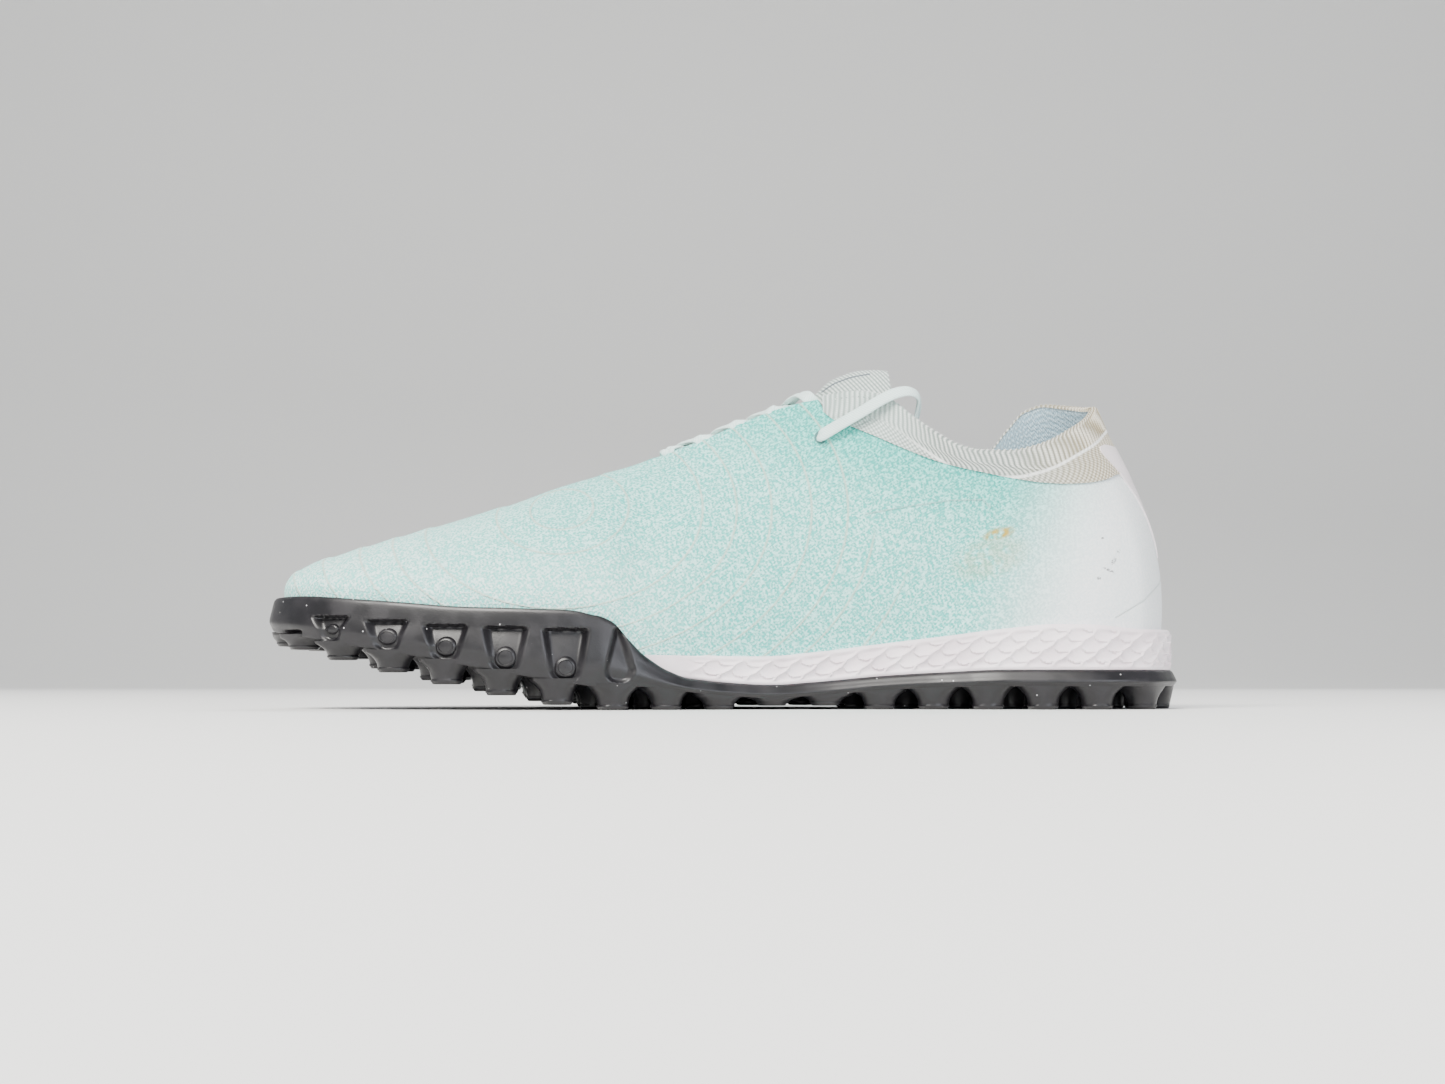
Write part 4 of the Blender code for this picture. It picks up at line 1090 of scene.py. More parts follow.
def make_collar():
    size = settings()
    places = even_places(COLLAR_PLACES)
    behind = places[places >= CUFF_FRONT]
    sides = {}
    below = {}
    for side in (INNER, OUTER):
        edge = cuff_level(side, behind)
        levels = edge[:, None] + (1 - edge[:, None]) * np.linspace(0, 1, COLLAR_COLUMNS)[None, :]
        rim_run = run_along(skin(side, behind, np.ones(len(behind)))[:, None, :], 0)
        run = rim_run[-1] - rim_run
        rib = np.cos(2 * math.pi * run / size.rib_pitch) * size.rib_depth / 2
        height = skin(side, behind[:, None], levels)
        below_rim = run_along(height, 1)[:, -1:] - run_along(height, 1)
        relief = rib * soft_step(below_rim, size.rib_band + 1 * MM, size.rib_band - 1 * MM)
        groove = soft_step(np.abs(below_rim - size.rib_band), 0.9 * MM, 0.1 * MM)
        relief = relief - groove * 0.35 * MM
        sides[side] = folded_wall(side, behind, levels, CUFF_WALL, CUFF_PROUD, relief)
        fold = np.zeros((len(behind), FOLD_COLUMNS))
        below[side] = np.concatenate([below_rim, fold, below_rim[:, ::-1]], axis=1)
    points = joined_sides(sides[INNER], sides[OUTER])
    made = grid_on("knit_collar", points)
    shares = made.data.attributes.new("below_rim", "FLOAT", "POINT")
    shares.data.foreach_set("value", joined_sides(below[INNER], below[OUTER]).astype(np.float32).ravel())
    outside = COLLAR_COLUMNS + FOLD_COLUMNS - 2
    columns = points.shape[1] - 1
    made.data.materials.append(collar_knit())
    made.data.materials.append(plain_cloth("collar_lining", "C5DCE6", "8FB0C0", 1.4 * MM, 0.25 * MM))
    slots = np.tile(np.arange(columns) > outside, points.shape[0] - 1).astype(np.int32)
    made.data.polygons.foreach_set("material_index", slots)
    weld(made)
    shade(made, 80)
    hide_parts("collar")
    return finish_piece(made)


# Tongue

def make_tongue():
    places = np.linspace(TONGUE_FRONT, TONGUE_BACK, TONGUE_PLACES)
    out_share = soft_step(places, 0.604, 0.626)
    flap = np.linspace(0.70, 0.96, 8)
    sides = {}
    rims = {}
    for side in (INNER, OUTER):
        hidden = raised(side, places[:, None], flap[None, :], -TONGUE_OFFSET)
        rim = raised(side, places, np.full(len(places), 0.985), CUFF_PROUD)
        end = hidden[:, -1] * (1 - out_share)[:, None] + rim * out_share[:, None]
        hidden[:, -1] = end
        sides[side] = hidden
        rims[side] = end
    ridge = read(TONGUE_RIDGE, "height", places) * TONGUE_HEIGHT
    start = rims[INNER]
    end = rims[OUTER]
    rise = ridge - (start[:, 2] + end[:, 2]) / 2
    bridge = []
    for share in np.linspace(0, 1, 30)[1:-1]:
        point = start * (1 - share) + end * share
        point[:, 2] += rise * math.sin(math.pi * share) ** 0.9
        bridge.append(point)
    points = np.concatenate([sides[INNER], np.stack(bridge, axis=1), sides[OUTER][:, ::-1]], axis=1)
    made = grid_on("knit_tongue", points)
    made.data.materials.append(tongue_knit())
    made.data.materials.append(plain_cloth("tongue_lining", "C5DCE6", "8FB0C0", 1.4 * MM, 0.25 * MM))
    weld(made)
    if made.data.polygons[len(made.data.polygons) // 2].normal.z < 0:
        flip(made)
    apply_modifier(
        made, "SOLIDIFY", thickness=TONGUE_WALL, offset=-1.0, use_even_offset=False,
        material_offset=1, material_offset_rim=0,
    )
    apply_modifier(made, "BEVEL", width=0.8 * MM, segments=3, limit_method="ANGLE", angle_limit=1.0)
    shade(made, 60)
    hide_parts("tongue")
    return finish_piece(made)


# Heel strip

def heel_places(side, distances, height):
    """Places on one side whose points at a height lie the given distances in y off the heel's middle."""
    places = (1 - np.cos(np.linspace(math.pi, math.pi - 0.9, 40))) / 2
    levels = level_at_height(side, places, height)
    off = np.abs(skin(side, places, levels)[:, 1] + CENTRE_Y)
    return np.interp(distances, off, places)


def make_heel_strip():
    size = settings()
    heights = np.linspace(STRIP_FOOT, STRIP_TOP, STRIP_ROWS) * HEEL_HEIGHT
    corner = STRIP_CORNER
    rows = []
    for height in heights:
        risen = (height - heights[0]) / (heights[-1] - heights[0])
        reach = STRIP_FOOT_SHARE + (1 - STRIP_FOOT_SHARE) * risen
        near_top = np.clip(1 - (heights[-1] - height) / corner, 0, 1)
        half = reach * size.strip_width / 2 - corner * (1 - math.sqrt(1 - near_top ** 2))
        shares = np.linspace(1, 0, 12)
        halves = []
        for side in (INNER, OUTER):
            u = heel_places(side, shares * half, height)
            level = level_at_height(side, u, height)
            over = height / HEEL_HEIGHT - read(CUFF_LINE, "height", u) + STRIP_LIFT_RUN
            stand = GAP + CUFF_PROUD * np.clip(over / STRIP_LIFT_RUN, 0, 1)
            halves.append(raised(side, u, level, stand * 0.5 + size.strip_wall * 0.6))
        rows.append(joined_sides(halves[0], halves[1]))
    made = grid_on("heel_film_strip", np.array(rows))
    made.data.materials.append(heel_film())
    weld(made)
    if made.data.polygons[len(made.data.polygons) // 2].normal.x < 0:
        flip(made)
    apply_modifier(made, "SOLIDIFY", thickness=size.strip_wall, offset=-1.0, use_even_offset=False)
    shade(made, 40)
    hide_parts("heel_strip")
    return finish_piece(made)


# Sole

def pocket_places():
    return [POCKET_START + i * POCKET_PITCH / LENGTH for i in range(POCKET_COUNT)]


def wall_run(side, u):
    """Length along the outline from the toe, for one side."""
    turn = np.linspace(0, math.pi, 3000)
    dense = (1 - np.cos(turn)) / 2
    x, y = outline(side, dense)
    run = np.concatenate([[0], np.cumsum(np.hypot(np.diff(x), np.diff(y)))])
    return np.interp(u, dense, run)


def button_places():
    """Buttons of the rand: place, height of the middle, and radius."""
    rows = []
    for place in pocket_places():
        foot = float(tread(place)) + POCKET_LEDGE
        top = float(rand_top(place)) - POCKET_BAND
        radius = min(BUTTON_RADIUS * 1.1, 0.4 * (top - foot))
        rows.append((place, foot + radius * 0.9, radius))
    return rows


def scoops():
    """Recesses of the rand, each a row: its place, the height and radius of its round foot, the height of
    its top, half the top's length and its share of the full depth."""
    rows = []
    for place, middle, radius in button_places():
        top = float(rand_top(place)) - POCKET_BAND
        rows.append((place, middle, radius + SCOOP_ROUND, top, POCKET_TOP_LENGTH / 2 + 0.6 * MM, 1.0))
    for place, middle, radius, top, half, share in zip(*PLAIN_SCOOPS.values()):
        rows.append((place, middle * MM, radius * MM, top * MM, half * MM, share))
    return rows


def pocket_relief(side, u, z):
    """Depth of the rand's recesses at points of the wall: crisp at their top edge, soft below."""
    run = wall_run(side, u)
    depth = np.zeros(z.shape)
    for place, middle, radius, top, top_half, share in scoops():
        risen = np.clip((z - middle) / (top - middle), 0, 1)
        rounded = np.sqrt(np.clip(radius ** 2 - (middle - z) ** 2, 0, None))
        half = np.where(z >= middle, radius + (top_half - radius) * risen, rounded)
        off = np.abs(run - wall_run(side, place))
        within = soft_step(half - off, -1.2 * MM, 1.4 * MM)
        below = soft_step(top - z, -0.5 * MM, 0.7 * MM)
        above = soft_step(z, middle - radius - 1.2 * MM, middle - radius + 1.4 * MM)
        depth = np.maximum(depth, share * within * below * above * (0.65 + 0.45 * risen))
    return depth * settings().pocket_depth


def outsole_wall(side, places, shares):
    """Points of the rubber's outer wall from the tread up to the rand's top."""
    u = places[:, None] + 0 * shares[None, :]
    low = tread(u)
    z = low + (rand_top(u) - low) * shares[None, :]
    inset = read(WALL_PROFILE, "inset", 0 * u + shares[None, :]) * MM
    inset = inset + pocket_relief(side, u, z)
    x, y = outline(side, u, inset)
    return np.stack([x, y, z], axis=-1)


def lip_points(side, places):
    """The rand's rounded top and its inner wall down to the slab."""
    points = []
    top = rand_top(places)
    radius = 0.7 * MM
    for turn in (30, 60, 90):
        a = math.radians(turn)
        inset = RAND_TOP_INSET + radius * (1 - math.cos(a))
        x, y = outline(side, places, inset)
        points.append(np.stack([x, y, top + radius * 0.5 * math.sin(a)], axis=-1))
    x, y = outline(side, places, RAND_TOP_INSET + RAND_WALL)
    for height in (top, slab_top(places)):
        points.append(np.stack([x, y, height], axis=-1))
    return np.stack(points, axis=1)


def outsole_body():
    places = split_places(RAND_PLACES, HEEL_PLACES)
    shares = np.linspace(0, 1, WALL_ROWS)
    halves = {}
    for side in (INNER, OUTER):
        wall = outsole_wall(side, places, shares)
        halves[side] = np.concatenate([wall, lip_points(side, places)], axis=1)
    bottom_start = halves[INNER][:, 0]
    bottom_end = halves[OUTER][:, 0]
    across = [bottom_start * (1 - s) + bottom_end * s for s in np.linspace(0, 1, BOTTOM_COLUMNS)[1:-1]]
    points = np.concatenate(
        [halves[INNER][:, ::-1], np.stack(across, axis=1), halves[OUTER], halves[INNER][:, -1:]], axis=1
    )
    made = grid_on("rubber_body", points)
    weld(made)
    return made


def inside(x, y, inset):
    """Whether a plan point is at least inset from the outline."""
    u = (1 - np.cos(np.linspace(0, math.pi, OUTLINE_SAMPLES))) / 2
    for side in (INNER, OUTER):
        edge_x, edge_y = outline(side, u)
        if np.hypot(edge_x - x, edge_y - y).min() < inset:
            return False
    return True


def lug_centres():
    """Rows of lugs that follow the outline, each row set half a pitch off the one outside it."""
    centres = []
    for row in range(LUG_ROWS):
        inset = EDGE_LUG_INSET + row * LUG_ROW
        ring = []
        for side, ordered in ((INNER, 1), (OUTER, -1)):
            u = (1 - np.cos(np.linspace(0, math.pi, OUTLINE_SAMPLES))) / 2
            x, y = outline(side, u, inset)
            ring += list(zip(x, y))[::ordered]
        path = np.array(ring)
        run = np.concatenate([[0], np.cumsum(np.linalg.norm(np.diff(path, axis=0), axis=1))])
        count = int(run[-1] / LUG_PITCH)
        for i in range(count):
            place = (i + 0.5 * (row % 2)) / count * run[-1]
            x = np.interp(place, run, path[:, 0])
            y = np.interp(place, run, path[:, 1])
            root = LUG_ROOT if row else EDGE_LUG_ROOT
            clear = all(math.hypot(x - a, y - b) >= root + c + LUG_CLEAR for a, b, c, _ in centres)
            if clear and inside(x, y, inset - LUG_EDGE_SLACK):
                centres.append((x, y, root, row))
    return centres


def turned(centre, axis, profile, sides):
    """A turned shape: profile is (radius, distance along axis) from its foot to its tip."""
    axis = np.array(axis, float) / np.linalg.norm(axis)
    helper = np.array([1.0, 0, 0]) if abs(axis[0]) < 0.9 else np.array([0, 1.0, 0])
    first = np.cross(axis, helper)
    first /= np.linalg.norm(first)
    second = np.cross(axis, first)
    points = []
    for radius, reach in profile:
        for turn in np.linspace(0, 2 * math.pi, sides, endpoint=False):
            spoke = math.cos(turn) * first + math.sin(turn) * second
            points.append(centre + axis * reach + radius * spoke)
    faces = []
    for i in range(len(profile) - 1):
        for j in range(sides):
            after = (j + 1) % sides
            faces.append((i * sides + j, i * sides + after, (i + 1) * sides + after, (i + 1) * sides + j))
    faces.append(tuple(range((len(profile) - 1) * sides, len(profile) * sides)))
    return np.array(points), faces


def held_inside(points, low):
    """Points of an edge lug moved in to the sole's side where they would stand out of it."""
    turn = np.linspace(0, math.pi, 1200)
    u = (1 - np.cos(turn)) / 2
    for side in (INNER, OUTER):
        edge = np.stack(outline(side, u), axis=-1)
        inner_edge = np.stack(outline(side, u, MM), axis=-1)
        inward = (inner_edge - edge) / MM
        gap = np.linalg.norm(points[:, None, :2] - edge[None, :, :], axis=-1)
        nearest = gap.argmin(axis=1)
        off = points[:, :2] - edge[nearest]
        depth = np.sum(off * inward[nearest], axis=1)
        need = TREAD_INSET * 0.8 + np.clip(low - points[:, 2], -TREAD_INSET, 1) * 0.22
        close = gap.min(axis=1) < 12 * MM
        move = np.where(close & (depth < need), need - depth, 0)
        points[:, :2] += inward[nearest] * move[:, None]
    return points


def lug_parts():
    """Flared lugs with a small ring round the tip; those of the waist are low and grooved."""
    parts = []
    for x, y, root, row in lug_centres():
        u = x / LENGTH + 0.5
        waist = WAIST_START < u < WAIST_END
        low = float(spring(u)) + (WAIST_LUG_LIFT if waist else 0.0)
        high = float(tread(u))
        height = high - low
        tip = LUG_TIP if row else EDGE_LUG_TIP
        profile = [(root * 1.28, -0.8 * MM)]
        for share in (0.0, 0.08, 0.18, 0.32, 0.5, 0.7):
            flare = (1 - share) ** 3
            groove = 0.12 * MM * math.sin(share * 26) if waist else 0.0
            profile.append((tip + (root * 1.22 - tip) * flare + groove, share * height))
        profile += [
            (tip + 0.02 * MM, height - 1.5 * MM),
            (tip + 0.24 * MM, height - 1.3 * MM),
            (tip + 0.24 * MM, height - 0.9 * MM),
            (tip - 0.1 * MM, height - 0.65 * MM),
            (tip - 0.35 * MM, height - 0.15 * MM),
            (tip - 0.8 * MM, height),
            (tip * 0.55, height),
            (tip * 0.5, height - 0.35 * MM),
        ]
        points, faces = turned(np.array([x, y, high]), (0, 0, -1), profile, 24)
        if row == 0:
            points = held_inside(points, high)
        parts.append((points, faces))
    return parts


def button_parts():
    """Low domed buttons with a ring in the rand's pockets, flatter towards the toe."""
    parts = []
    for side in (INNER, OUTER):
        for i, (u, middle, radius) in enumerate(button_places()):
            x, y = outline(side, u)
            back_x, back_y = outline(side, u, MM)
            out = np.array([float(x - back_x), float(y - back_y), 0.0]) / MM
            centre = np.array([float(x), float(y), middle]) - out * BUTTON_SUNK
            profile = [(radius * 1.45, -0.6 * MM), (radius * 1.12, 0.5 * MM), (radius, 1.2 * MM)]
            profile += [(radius * 0.88, 1.6 * MM), (radius * 0.72, 1.75 * MM), (radius * 0.66, 1.5 * MM)]
            profile += [(radius * 0.35, 1.65 * MM), (radius * 0.02, 1.7 * MM)]
            points, faces = turned(centre, out, profile, 32)
            squash = min(1.0, 0.62 + 0.12 * i)
            points[:, 2] = middle + (points[:, 2] - middle) * squash
            parts.append((points, faces))
    return parts


def make_outsole():
    body = outsole_body()
    lugs = from_arrays("lugs", lug_parts())
    buttons = from_arrays("buttons", button_parts())
    for one in (lugs, buttons):
        weld(one)
    made = join("turf_outsole", buttons, lugs, body)
    made.data.materials.clear()
    made.data.materials.append(black_rubber())
    shade(made, 45)
    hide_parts("outsole")
    return finish_piece(made)


def foam_relief(run, z, low, high):
    """Overlapping scales on the foam's side: each is a shallow dish with a raised edge."""
    size = settings()
    relief = np.full(z.shape, 0.45)
    pitch = size.scale_height * 0.62
    for row in range(5):
        middle = low + size.foam_band + pitch * (row + 0.15)
        shift = (row % 2) * 0.5 * size.scale_length
        across = ((run + shift - (z - middle) * 0.8) / size.scale_length) % 1 - 0.5
        rise = (z - middle) / size.scale_height
        edge = np.hypot(across * 2.02, rise * 1.75)
        relief = np.where(edge < 1, edge ** 3 * (0.75 + 0.5 * across), relief)
    kept = soft_step(z - low, size.foam_band * 0.7, size.foam_band * 1.3)
    kept = kept * soft_step(high - z, size.foam_band * 0.8, size.foam_band * 1.6)
    return (relief - 0.5) * kept * size.scale_depth


def make_midsole():
    places = split_places(FOAM_HIDDEN_PLACES, FOAM_PLACES)
    shares = np.linspace(0, 1, FOAM_ROWS)
    halves = {}
    for side in (INNER, OUTER):
        u = places[:, None] + 0 * shares[None, :]
        low = slab_top(u) + GAP
        high = foam_top(u)
        z = low + (high - low) * shares[None, :]
        rounded = soft_step(shares, 0.9, 1.0)[None, :] ** 2 * FOAM_EDGE
        rounded = rounded + soft_step(shares, 0.06, 0.0)[None, :] * GAP
        relief = foam_relief(wall_run(side, u), z, low, high) * soft_step(u, 0.45, 0.5)
        x, y = outline(side, u, foam_inset(u) + rounded - relief)
        halves[side] = np.stack([x, y, z], axis=-1)
    start = halves[INNER][:, -1]
    end = halves[OUTER][:, -1]
    across = [end * (1 - s) + start * s for s in np.linspace(0, 1, BOTTOM_COLUMNS)[1:-1]]
    points = np.concatenate(
        [halves[INNER][:, ::-1], halves[OUTER], np.stack(across, axis=1), halves[INNER][:, -1:]], axis=1
    )
    made = grid_on("foam_midsole", points)
    weld(made)
    made.data.materials.append(moulded_foam())
    shade(made, 45)
    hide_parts("midsole")
    return finish_piece(made)


# Laces

def throat_point(u, share, offset):
    """A point over the throat and the direction away from the foot there: share 0 is the inner
    eyelet, 1 the outer one."""
    level = float(read(EYELETS, "level", u))
    down = np.array([level, (1 + level) / 2, 1.0])
    near_edge = np.array([INNER_EYELET_LEVEL, (1 + INNER_EYELET_LEVEL) / 2, 1.0])
    inner = raised(INNER, u, near_edge, offset)
    outer = raised(OUTER, u, down, offset)
    ridge = read(TONGUE_RIDGE, "height", u) * TONGUE_HEIGHT + offset
    middle = (inner[-1] + outer[-1]) / 2
    middle[2] = max(middle[2], ridge)
    beside = []
    for edge in (inner[-1], outer[-1]):
        point = (edge + middle) / 2
        point[2] = max(point[2], middle[2] - GAP)
        beside.append(point)
    points = np.array([*inner, beside[0], middle, beside[1], *outer[::-1]])
    away = skin_normal(INNER, u, near_edge), skin_normal(OUTER, u, down)
    up = np.array([0.0, 0.0, 1.0])
    normals = np.array([*away[0], (away[0][-1] + up) / 2, up, (away[1][-1] + up) / 2, *away[1][::-1]])
    run = np.concatenate([[0], np.cumsum(np.linalg.norm(np.diff(points, axis=0), axis=1))])
    both = np.hstack([points, normals])
    return np.array([np.interp(share * run[-1], run, both[:, axis]) for axis in range(6)])


def smooth_route(points, spacing):
    """Points read from a smooth curve through a route's own points; extra columns come along."""
    points = np.array(points, float)
    ends = np.vstack([2 * points[0] - points[1], points, 2 * points[-1] - points[-2]])
    dense = []
    for i in range(1, len(ends) - 2):
        before, start, end, after = ends[i - 1: i + 3]
        for t in np.linspace(0, 1, 12, endpoint=False):
            dense.append(
                0.5 * (2 * start + (end - before) * t
                       + (2 * before - 5 * start + 4 * end - after) * t * t
                       + (3 * start - before - 3 * end + after) * t ** 3)
            )
    dense.append(points[-1])
    dense = np.array(dense)
    run = np.concatenate([[0], np.cumsum(np.linalg.norm(np.diff(dense[:, :3], axis=0), axis=1))])
    count = max(2, round(run[-1] / spacing))
    places = np.linspace(0, run[-1], count + 1)
    return np.stack([np.interp(places, run, dense[:, axis]) for axis in range(dense.shape[1])], axis=1)


def lace_section():
    """The flat lace's section, two tubes side by side: (across, out) pairs in metres."""
    size = settings()
    pairs = []
    for turn in np.linspace(0, 2 * math.pi, 28, endpoint=False):
        across = math.cos(turn)
        lobe = 0.62 + 0.38 * math.sin(math.pi * min(1, abs(across)))
        out = math.copysign(abs(math.sin(turn)) ** 0.7, math.sin(turn)) * lobe
        pairs.append((across * size.lace_width / 2, out * size.lace_thickness / 2))
    return pairs


def lace_strand(name, path, normals):
    """A flat lace swept along a path as a grid, its flat side facing the normals."""
    along = np.gradient(path, axis=0)
    along /= np.linalg.norm(along, axis=1, keepdims=True)
    wide = np.cross(along, normals)
    wide /= np.linalg.norm(wide, axis=1, keepdims=True)
    thin = np.cross(wide, along)
    section = lace_section()
    ring = np.array(section + section[:1])
    points = path[:, None] + ring[None, :, :1] * wide[:, None] + ring[None, :, 1:] * thin[:, None]
    run = run_along(path[:, None], 0)
    around = np.linspace(0, 2 * settings().lace_width, len(ring))[None, :]
    uv = np.stack([run + 0 * around, around + 0 * run], axis=-1)
    made = grid_on(name, points, uv)
    weld(made)
    return made


def crossing_path(first_u, last_u, from_inner, lift):
    """A run from one eyelet up over the throat and down into the other side's eyelet."""
    points = []
    shares = np.linspace(0, 1, 13)
    for share in shares:
        u = first_u + (last_u - first_u) * share
        over = LACE_CLEAR + lift * math.sin(math.pi * share)
        points.append(throat_point(u, share if from_inner else 1 - share, over))
    points = np.array(points)
    for end, beside in ((0, 1), (-1, -2)):
        points[end, :3] -= points[end, 3:] * 3.0 * MM
        points[beside, :3] -= points[beside, 3:] * 0.4 * MM
    return points


def make_laces():
    size = settings()
    rows = EYELETS["u"]
    strands = [crossing_path(rows[0], rows[0], True, 0.3 * MM)]
    for first, last in zip(rows, rows[1:]):
        strands.append(crossing_path(first, last, True, 0.4 * MM))
        strands.append(crossing_path(first, last, False, size.lace_thickness + 0.3 * MM))
    made = []
    for i, strand in enumerate(strands):
        fine = smooth_route(strand, LACE_SPACING)
        made.append(lace_strand(f"lace_run_{i}", fine[:, :3], fine[:, 3:]))
    root = raised(INNER, *FREE_EYELET, -1.5 * MM)
    mouth = raised(INNER, *FREE_EYELET, 1.2 * MM)
    start = np.array(LACE_ROUTE[0]) * MM
    stub = smooth_route([root, mouth, start, np.array(LACE_ROUTE[1]) * MM], LACE_SPACING)
    stub = stub[np.linalg.norm(stub - root, axis=1) <= np.linalg.norm(start - root) + 0.4 * MM]
    made.append(lace_strand("lace_stub", stub, np.tile(FREE_LACE_FACING[0], (len(stub), 1))))
    laces = join("flat_lace", *made)
    laces.data.materials.append(lace_cloth())
    shade(laces, 60)
    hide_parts("lace")
    finish_piece(laces)
    make_free_lace()
    make_eyelets()
    return laces


def lace_cloth():
    """Woven lace: a fine slanted weave."""
    made, tree, shader = new_material("flat_lace")
    along, up = map_axes(tree)
    weave = wave(tree, maths(tree, "ADD", along, maths(tree, "MULTIPLY", up, 0.8)), 0.8)
    tree.links.new(mix(tree, weave, "CFE9E5", settings().lace_colour), shader.inputs["Base Color"])
    tree.links.new(bump(tree, weave, 0.06 * MM), shader.inputs["Normal"])
    shader.inputs["Roughness"].default_value = 0.75
    shader.inputs["Sheen Weight"].default_value = 0.2
    return made


def make_free_lace():
    """The lace's free end, which leaves the top eyelet and goes down inside over the collar's edge."""
    route = smooth_route(np.array(LACE_ROUTE) * MM, LACE_SPACING)
    share = np.linspace(0, 1, len(route))[:, None]
    start, middle, end = np.array(FREE_LACE_FACING)
    normals = start * (1 - share) ** 2 + middle * 2 * share * (1 - share) + end * share ** 2
    made = lace_strand("free_lace", route, normals)
    made.data.materials.append(lace_cloth())
    shade(made, 60)
    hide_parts("lace_loop")
    finish_piece(made)
    return made


def make_eyelets():
    """Dark ovals under the laces, slightly sunk on the knit: painted shade of punched holes."""
    parts = []
    holes = [(OUTER, u, level) for u, level in zip(EYELETS["u"], EYELETS["level"])]
    holes.append((INNER, FREE_EYELET[0], FREE_EYELET[1]))
    profile = [(2.6 * MM, -0.1 * MM), (2.4 * MM, 0.22 * MM), (2.0 * MM, 0.22 * MM), (1.7 * MM, 0.1 * MM)]
    for side, u, level in holes:
        centre = raised(side, u, level, 0.0)
        parts.append(turned(centre, skin_normal(side, u, level), profile, 20))
    made = from_arrays("eyelets", parts)
    weld(made)
    # Painted shade: a dark colour where the inside of each punched hole would lie in shade.
    made.data.materials.append(plain("eyelet_shadow", "4F7C7A", 0.8))
    shade(made, 50)
    return finish_piece(made)


def dress_insole():
    """The insole keeps the part's own solid."""
    solid = bpy.data.objects["insole"]
    solid.data.materials.clear()
    solid.data.materials.append(plain_cloth("sock_liner", "AECBD6", "86A7B4", 1.6 * MM, 0.15 * MM))


# Stage

def area_light(name, place, target, size, power, colour):
    bpy.ops.object.light_add(type="AREA", location=place)
    made = bpy.context.object
    made.name = name
    made.data.shape = "RECTANGLE"
    made.data.size = size[0]
    made.data.size_y = size[1]
    made.data.energy = power
    made.data.color = linear(colour)
    aim = Vector(target) - Vector(place)
    made.rotation_euler = aim.to_track_quat("-Z", "Y").to_euler()
    return made


def make_floor():
    """A pale floor that turns up into a backdrop far behind the shoe."""
    depth = 2.6
    curve_radius = 0.9
    profile = [(-2.4, 0.0), (depth - curve_radius, 0.0)]
    for turn in np.linspace(0, math.pi / 2, 10)[1:]:
        y = depth - curve_radius + curve_radius * math.sin(turn)
        profile.append((y, curve_radius * (1 - math.cos(turn))))
    profile.append((depth, 3.0))
    rows = [[(x, y, z) for x in (-4.0, -1.5, 1.5, 4.0)] for y, z in profile]
    made = grid_on("floor", np.array(rows))
    weld(made)
    made.data.materials.append(plain("pale_floor", "E9E9E8", 0.9))
    shade(made, 60)
    if made.data.polygons[0].normal.z < 0:
        flip(made)
    return made


def make_camera():
    """The photo's side view. The photo looks from below the sole; this camera stops at the floor."""
    size = settings()
    aim = Vector((-0.8 * MM, 0.0, size.aim_height))
    place = Vector((-0.8 * MM, -size.camera_distance, size.camera_height))
    bpy.ops.object.camera_add(location=place)
    made = bpy.context.object
    made.name = "photo_camera"
    made.rotation_euler = (aim - place).to_track_quat("-Z", "Y").to_euler()
    made.data.sensor_width = 36.0
    made.data.lens = 36.0 * size.camera_distance / size.frame_width
    made.data.clip_start = 0.02
    bpy.context.scene.camera = made
    return made


def make_stage():
    make_floor()
    key = area_light("key", (-0.6, -1.2, 1.4), (0, 0, 0.04), (1.2, 0.9), 90, "FFFCF6")
    fill = area_light("fill", (0.9, -1.3, 0.45), (0, 0, 0.04), (1.4, 0.5), 14, "F2F6FF")
    back = area_light("back", (0.3, 1.2, 1.4), (0, 0, 0.06), (1.4, 0.6), 20, "FFFFFF")
    world = bpy.data.worlds.new("studio")
    world.use_nodes = True
    world.node_tree.nodes["Background"].inputs["Color"].default_value = (*linear("E8ECF0"), 1.0)
    world.node_tree.nodes["Background"].inputs["Strength"].default_value = 0.55
    bpy.context.scene.world = world
    make_camera()


# Add-on

def colour_property(name, value, description):
    return FloatVectorProperty(
        name=name, description=description, default=srgb(value), min=0.0, max=1.0,
        size=3, subtype="COLOR_GAMMA",
    )


def length_property(name, value, description):
    return FloatProperty(
        name=name, description=description, default=value, min=0.0, unit="LENGTH", precision=5,
    )


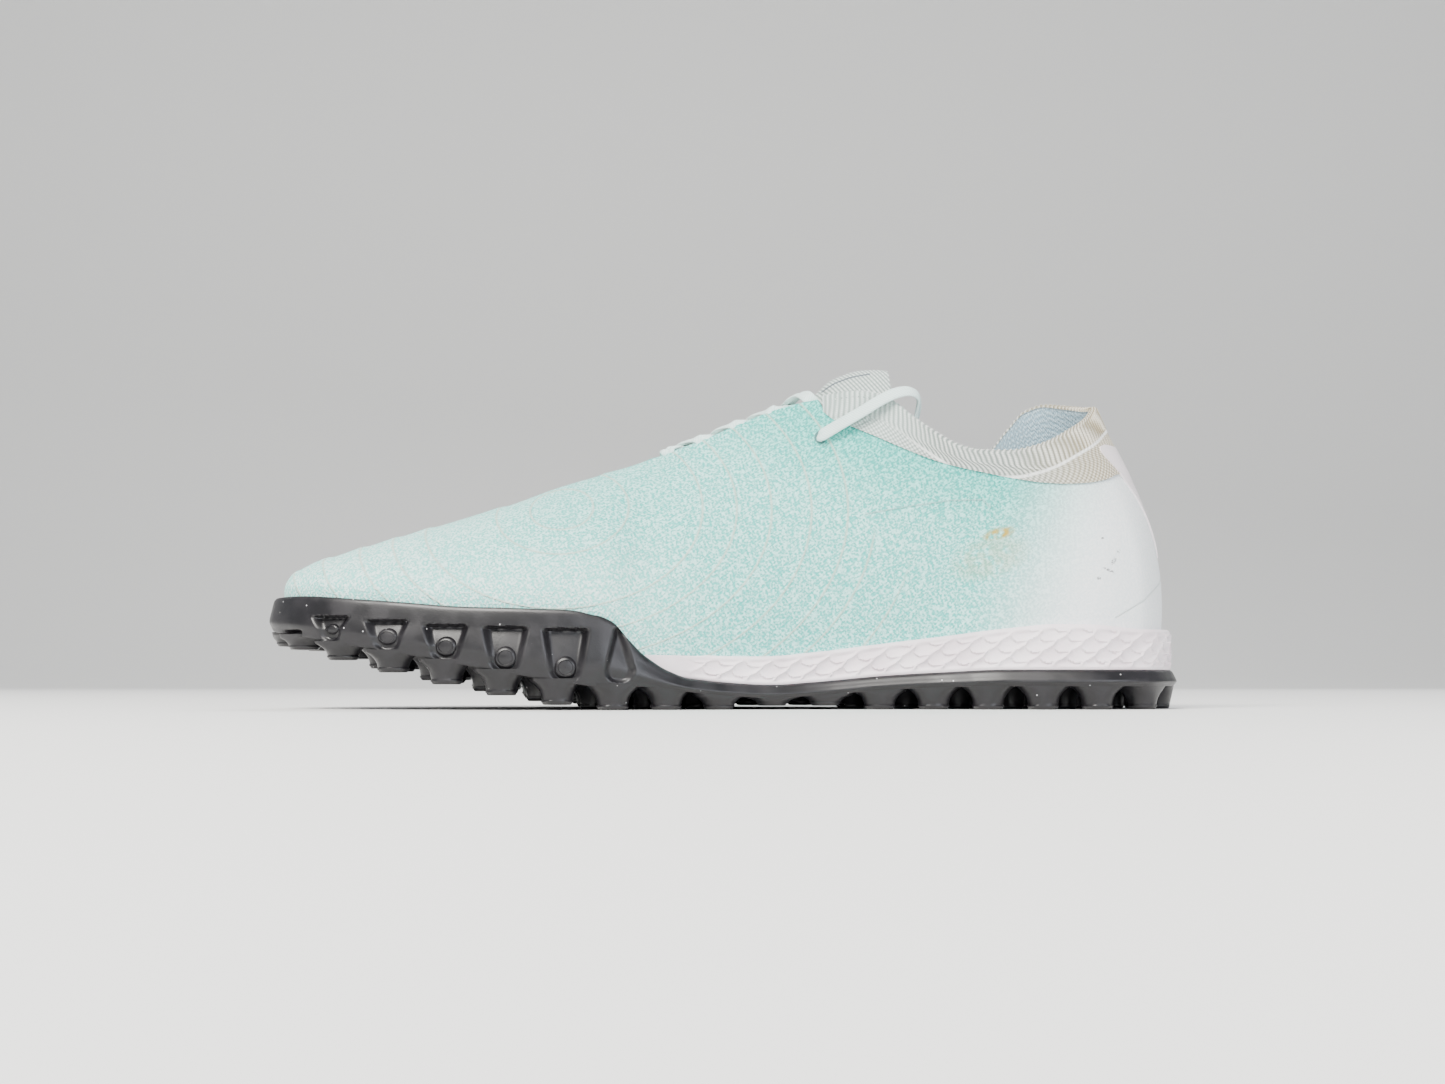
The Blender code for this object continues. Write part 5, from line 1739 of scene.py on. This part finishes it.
class TurfShoeSettings(bpy.types.PropertyGroup):
    """Sizes and colours that the looks of the shoe are built from."""

    knit_light: colour_property("Knit light", "C4FCF5", "Light yarn of the upper")
    knit_dark: colour_property("Knit dark", "2CBAB1", "Dark yarn of the upper")
    collar_light: colour_property("Collar light", "E3E6E1", "Tops of the collar's ribs")
    # Painted shade: the colour of the hollows between the collar's ribs
    collar_rib_shade: colour_property("Collar dark", "7C8883", "Hollows between the collar's ribs")
    lining_colour: colour_property("Lining", "C4D6DA", "Lining of the upper")
    foam_colour: colour_property("Foam", "F7EDF1", "Midsole foam")
    rubber_colour: colour_property("Rubber", "121114", "Outsole rubber")
    lace_colour: colour_property("Lace", "E4F5F2", "Laces")
    upper_wall: length_property("Upper wall", 2.0 * MM, "Thickness of the knit and its lining")
    film_step: length_property("Film step", 0.5 * MM, "Height of the contour steps on the upper")
    stitch_width: length_property("Stitch width", 1.5 * MM, "Width of a stitch of the upper")
    stitch_height: length_property("Stitch height", 0.8 * MM, "Height of a row of stitches")
    rib_pitch: length_property("Rib pitch", 1.9 * MM, "Distance between the ribs of the collar")
    rib_depth: length_property("Rib depth", 0.45 * MM, "Height of the collar's ribs")
    rib_band: length_property("Rib band", 7.5 * MM, "Height of the ribbed fold below the rim")
    fine_rib_pitch: length_property("Fine rib pitch", 1.15 * MM, "Distance between the tongue's ribs")
    strip_width: length_property("Strip width", 37 * MM, "Width of the heel strip's top")
    strip_wall: length_property("Strip wall", 0.6 * MM, "Thickness of the heel strip")
    pocket_depth: length_property("Pocket depth", 2.6 * MM, "Depth of the rand's pockets")
    foam_band: length_property("Foam band", 1.3 * MM, "Plain edge of the foam above and below its scales")
    scale_length: length_property("Scale length", 8.6 * MM, "Length of a scale of the foam")
    scale_height: length_property("Scale height", 5.2 * MM, "Height of a scale of the foam")
    scale_depth: length_property("Scale depth", 1.2 * MM, "Relief of the foam's scales")
    lace_width: length_property("Lace width", 4.2 * MM, "Width of the flat lace")
    lace_thickness: length_property("Lace thickness", 1.5 * MM, "Thickness of the flat lace")
    camera_distance: length_property("Camera distance", 650 * MM, "From the camera to the shoe's middle")
    camera_height: length_property("Camera height", 9 * MM, "Height of the camera above the floor")
    aim_height: length_property("Aim height", 53.9 * MM, "Height that the camera looks at")
    frame_width: length_property("Frame width", 469 * MM, "Width of the view at the shoe's middle")


class TURFSHOE_OT_upper(bpy.types.Operator):
    """Knitted upper with its film's contour lines"""

    bl_idname = "turfshoe.upper"
    bl_label = "Upper"

    def execute(self, context):
        make_upper()
        return {"FINISHED"}


class TURFSHOE_OT_collar(bpy.types.Operator):
    """Ribbed collar and the ribbed front panel"""

    bl_idname = "turfshoe.collar"
    bl_label = "Collar and tongue"

    def execute(self, context):
        make_collar()
        make_tongue()
        return {"FINISHED"}


class TURFSHOE_OT_heel(bpy.types.Operator):
    """Film strip down the heel"""

    bl_idname = "turfshoe.heel"
    bl_label = "Heel strip"

    def execute(self, context):
        make_heel_strip()
        return {"FINISHED"}


class TURFSHOE_OT_sole(bpy.types.Operator):
    """Rubber outsole, foam midsole and sock liner"""

    bl_idname = "turfshoe.sole"
    bl_label = "Sole"

    def execute(self, context):
        make_outsole()
        make_midsole()
        dress_insole()
        return {"FINISHED"}


class TURFSHOE_OT_laces(bpy.types.Operator):
    """Laces over the throat, their eyelets and the free lace"""

    bl_idname = "turfshoe.laces"
    bl_label = "Laces"

    def execute(self, context):
        make_laces()
        return {"FINISHED"}


class TURFSHOE_OT_stage(bpy.types.Operator):
    """Floor, lights and the camera of the photo's view"""

    bl_idname = "turfshoe.stage"
    bl_label = "Stage"

    def execute(self, context):
        make_stage()
        return {"FINISHED"}


class TURFSHOE_PT_panel(bpy.types.Panel):
    """Sizes and buttons of the shoe"""

    bl_label = "Turf Shoe"
    bl_space_type = "VIEW_3D"
    bl_region_type = "UI"
    bl_category = "Turf Shoe"

    def draw(self, context):
        for name in TurfShoeSettings.__annotations__:
            self.layout.prop(context.scene.turf_shoe, name)
        for operator in OPERATORS:
            self.layout.operator(operator.bl_idname)


OPERATORS = (
    TURFSHOE_OT_upper,
    TURFSHOE_OT_collar,
    TURFSHOE_OT_heel,
    TURFSHOE_OT_sole,
    TURFSHOE_OT_laces,
    TURFSHOE_OT_stage,
)
CLASSES = (TurfShoeSettings, *OPERATORS, TURFSHOE_PT_panel)


def register():
    for one in CLASSES:
        bpy.utils.register_class(one)
    bpy.types.Scene.turf_shoe = PointerProperty(type=TurfShoeSettings)


def unregister():
    del bpy.types.Scene.turf_shoe
    for one in reversed(CLASSES):
        bpy.utils.unregister_class(one)


def main():
    register()
    bpy.ops.turfshoe.upper()
    bpy.ops.turfshoe.collar()
    bpy.ops.turfshoe.heel()
    bpy.ops.turfshoe.sole()
    bpy.ops.turfshoe.laces()
    bpy.ops.turfshoe.stage()


if __name__ == "__main__":
    main()
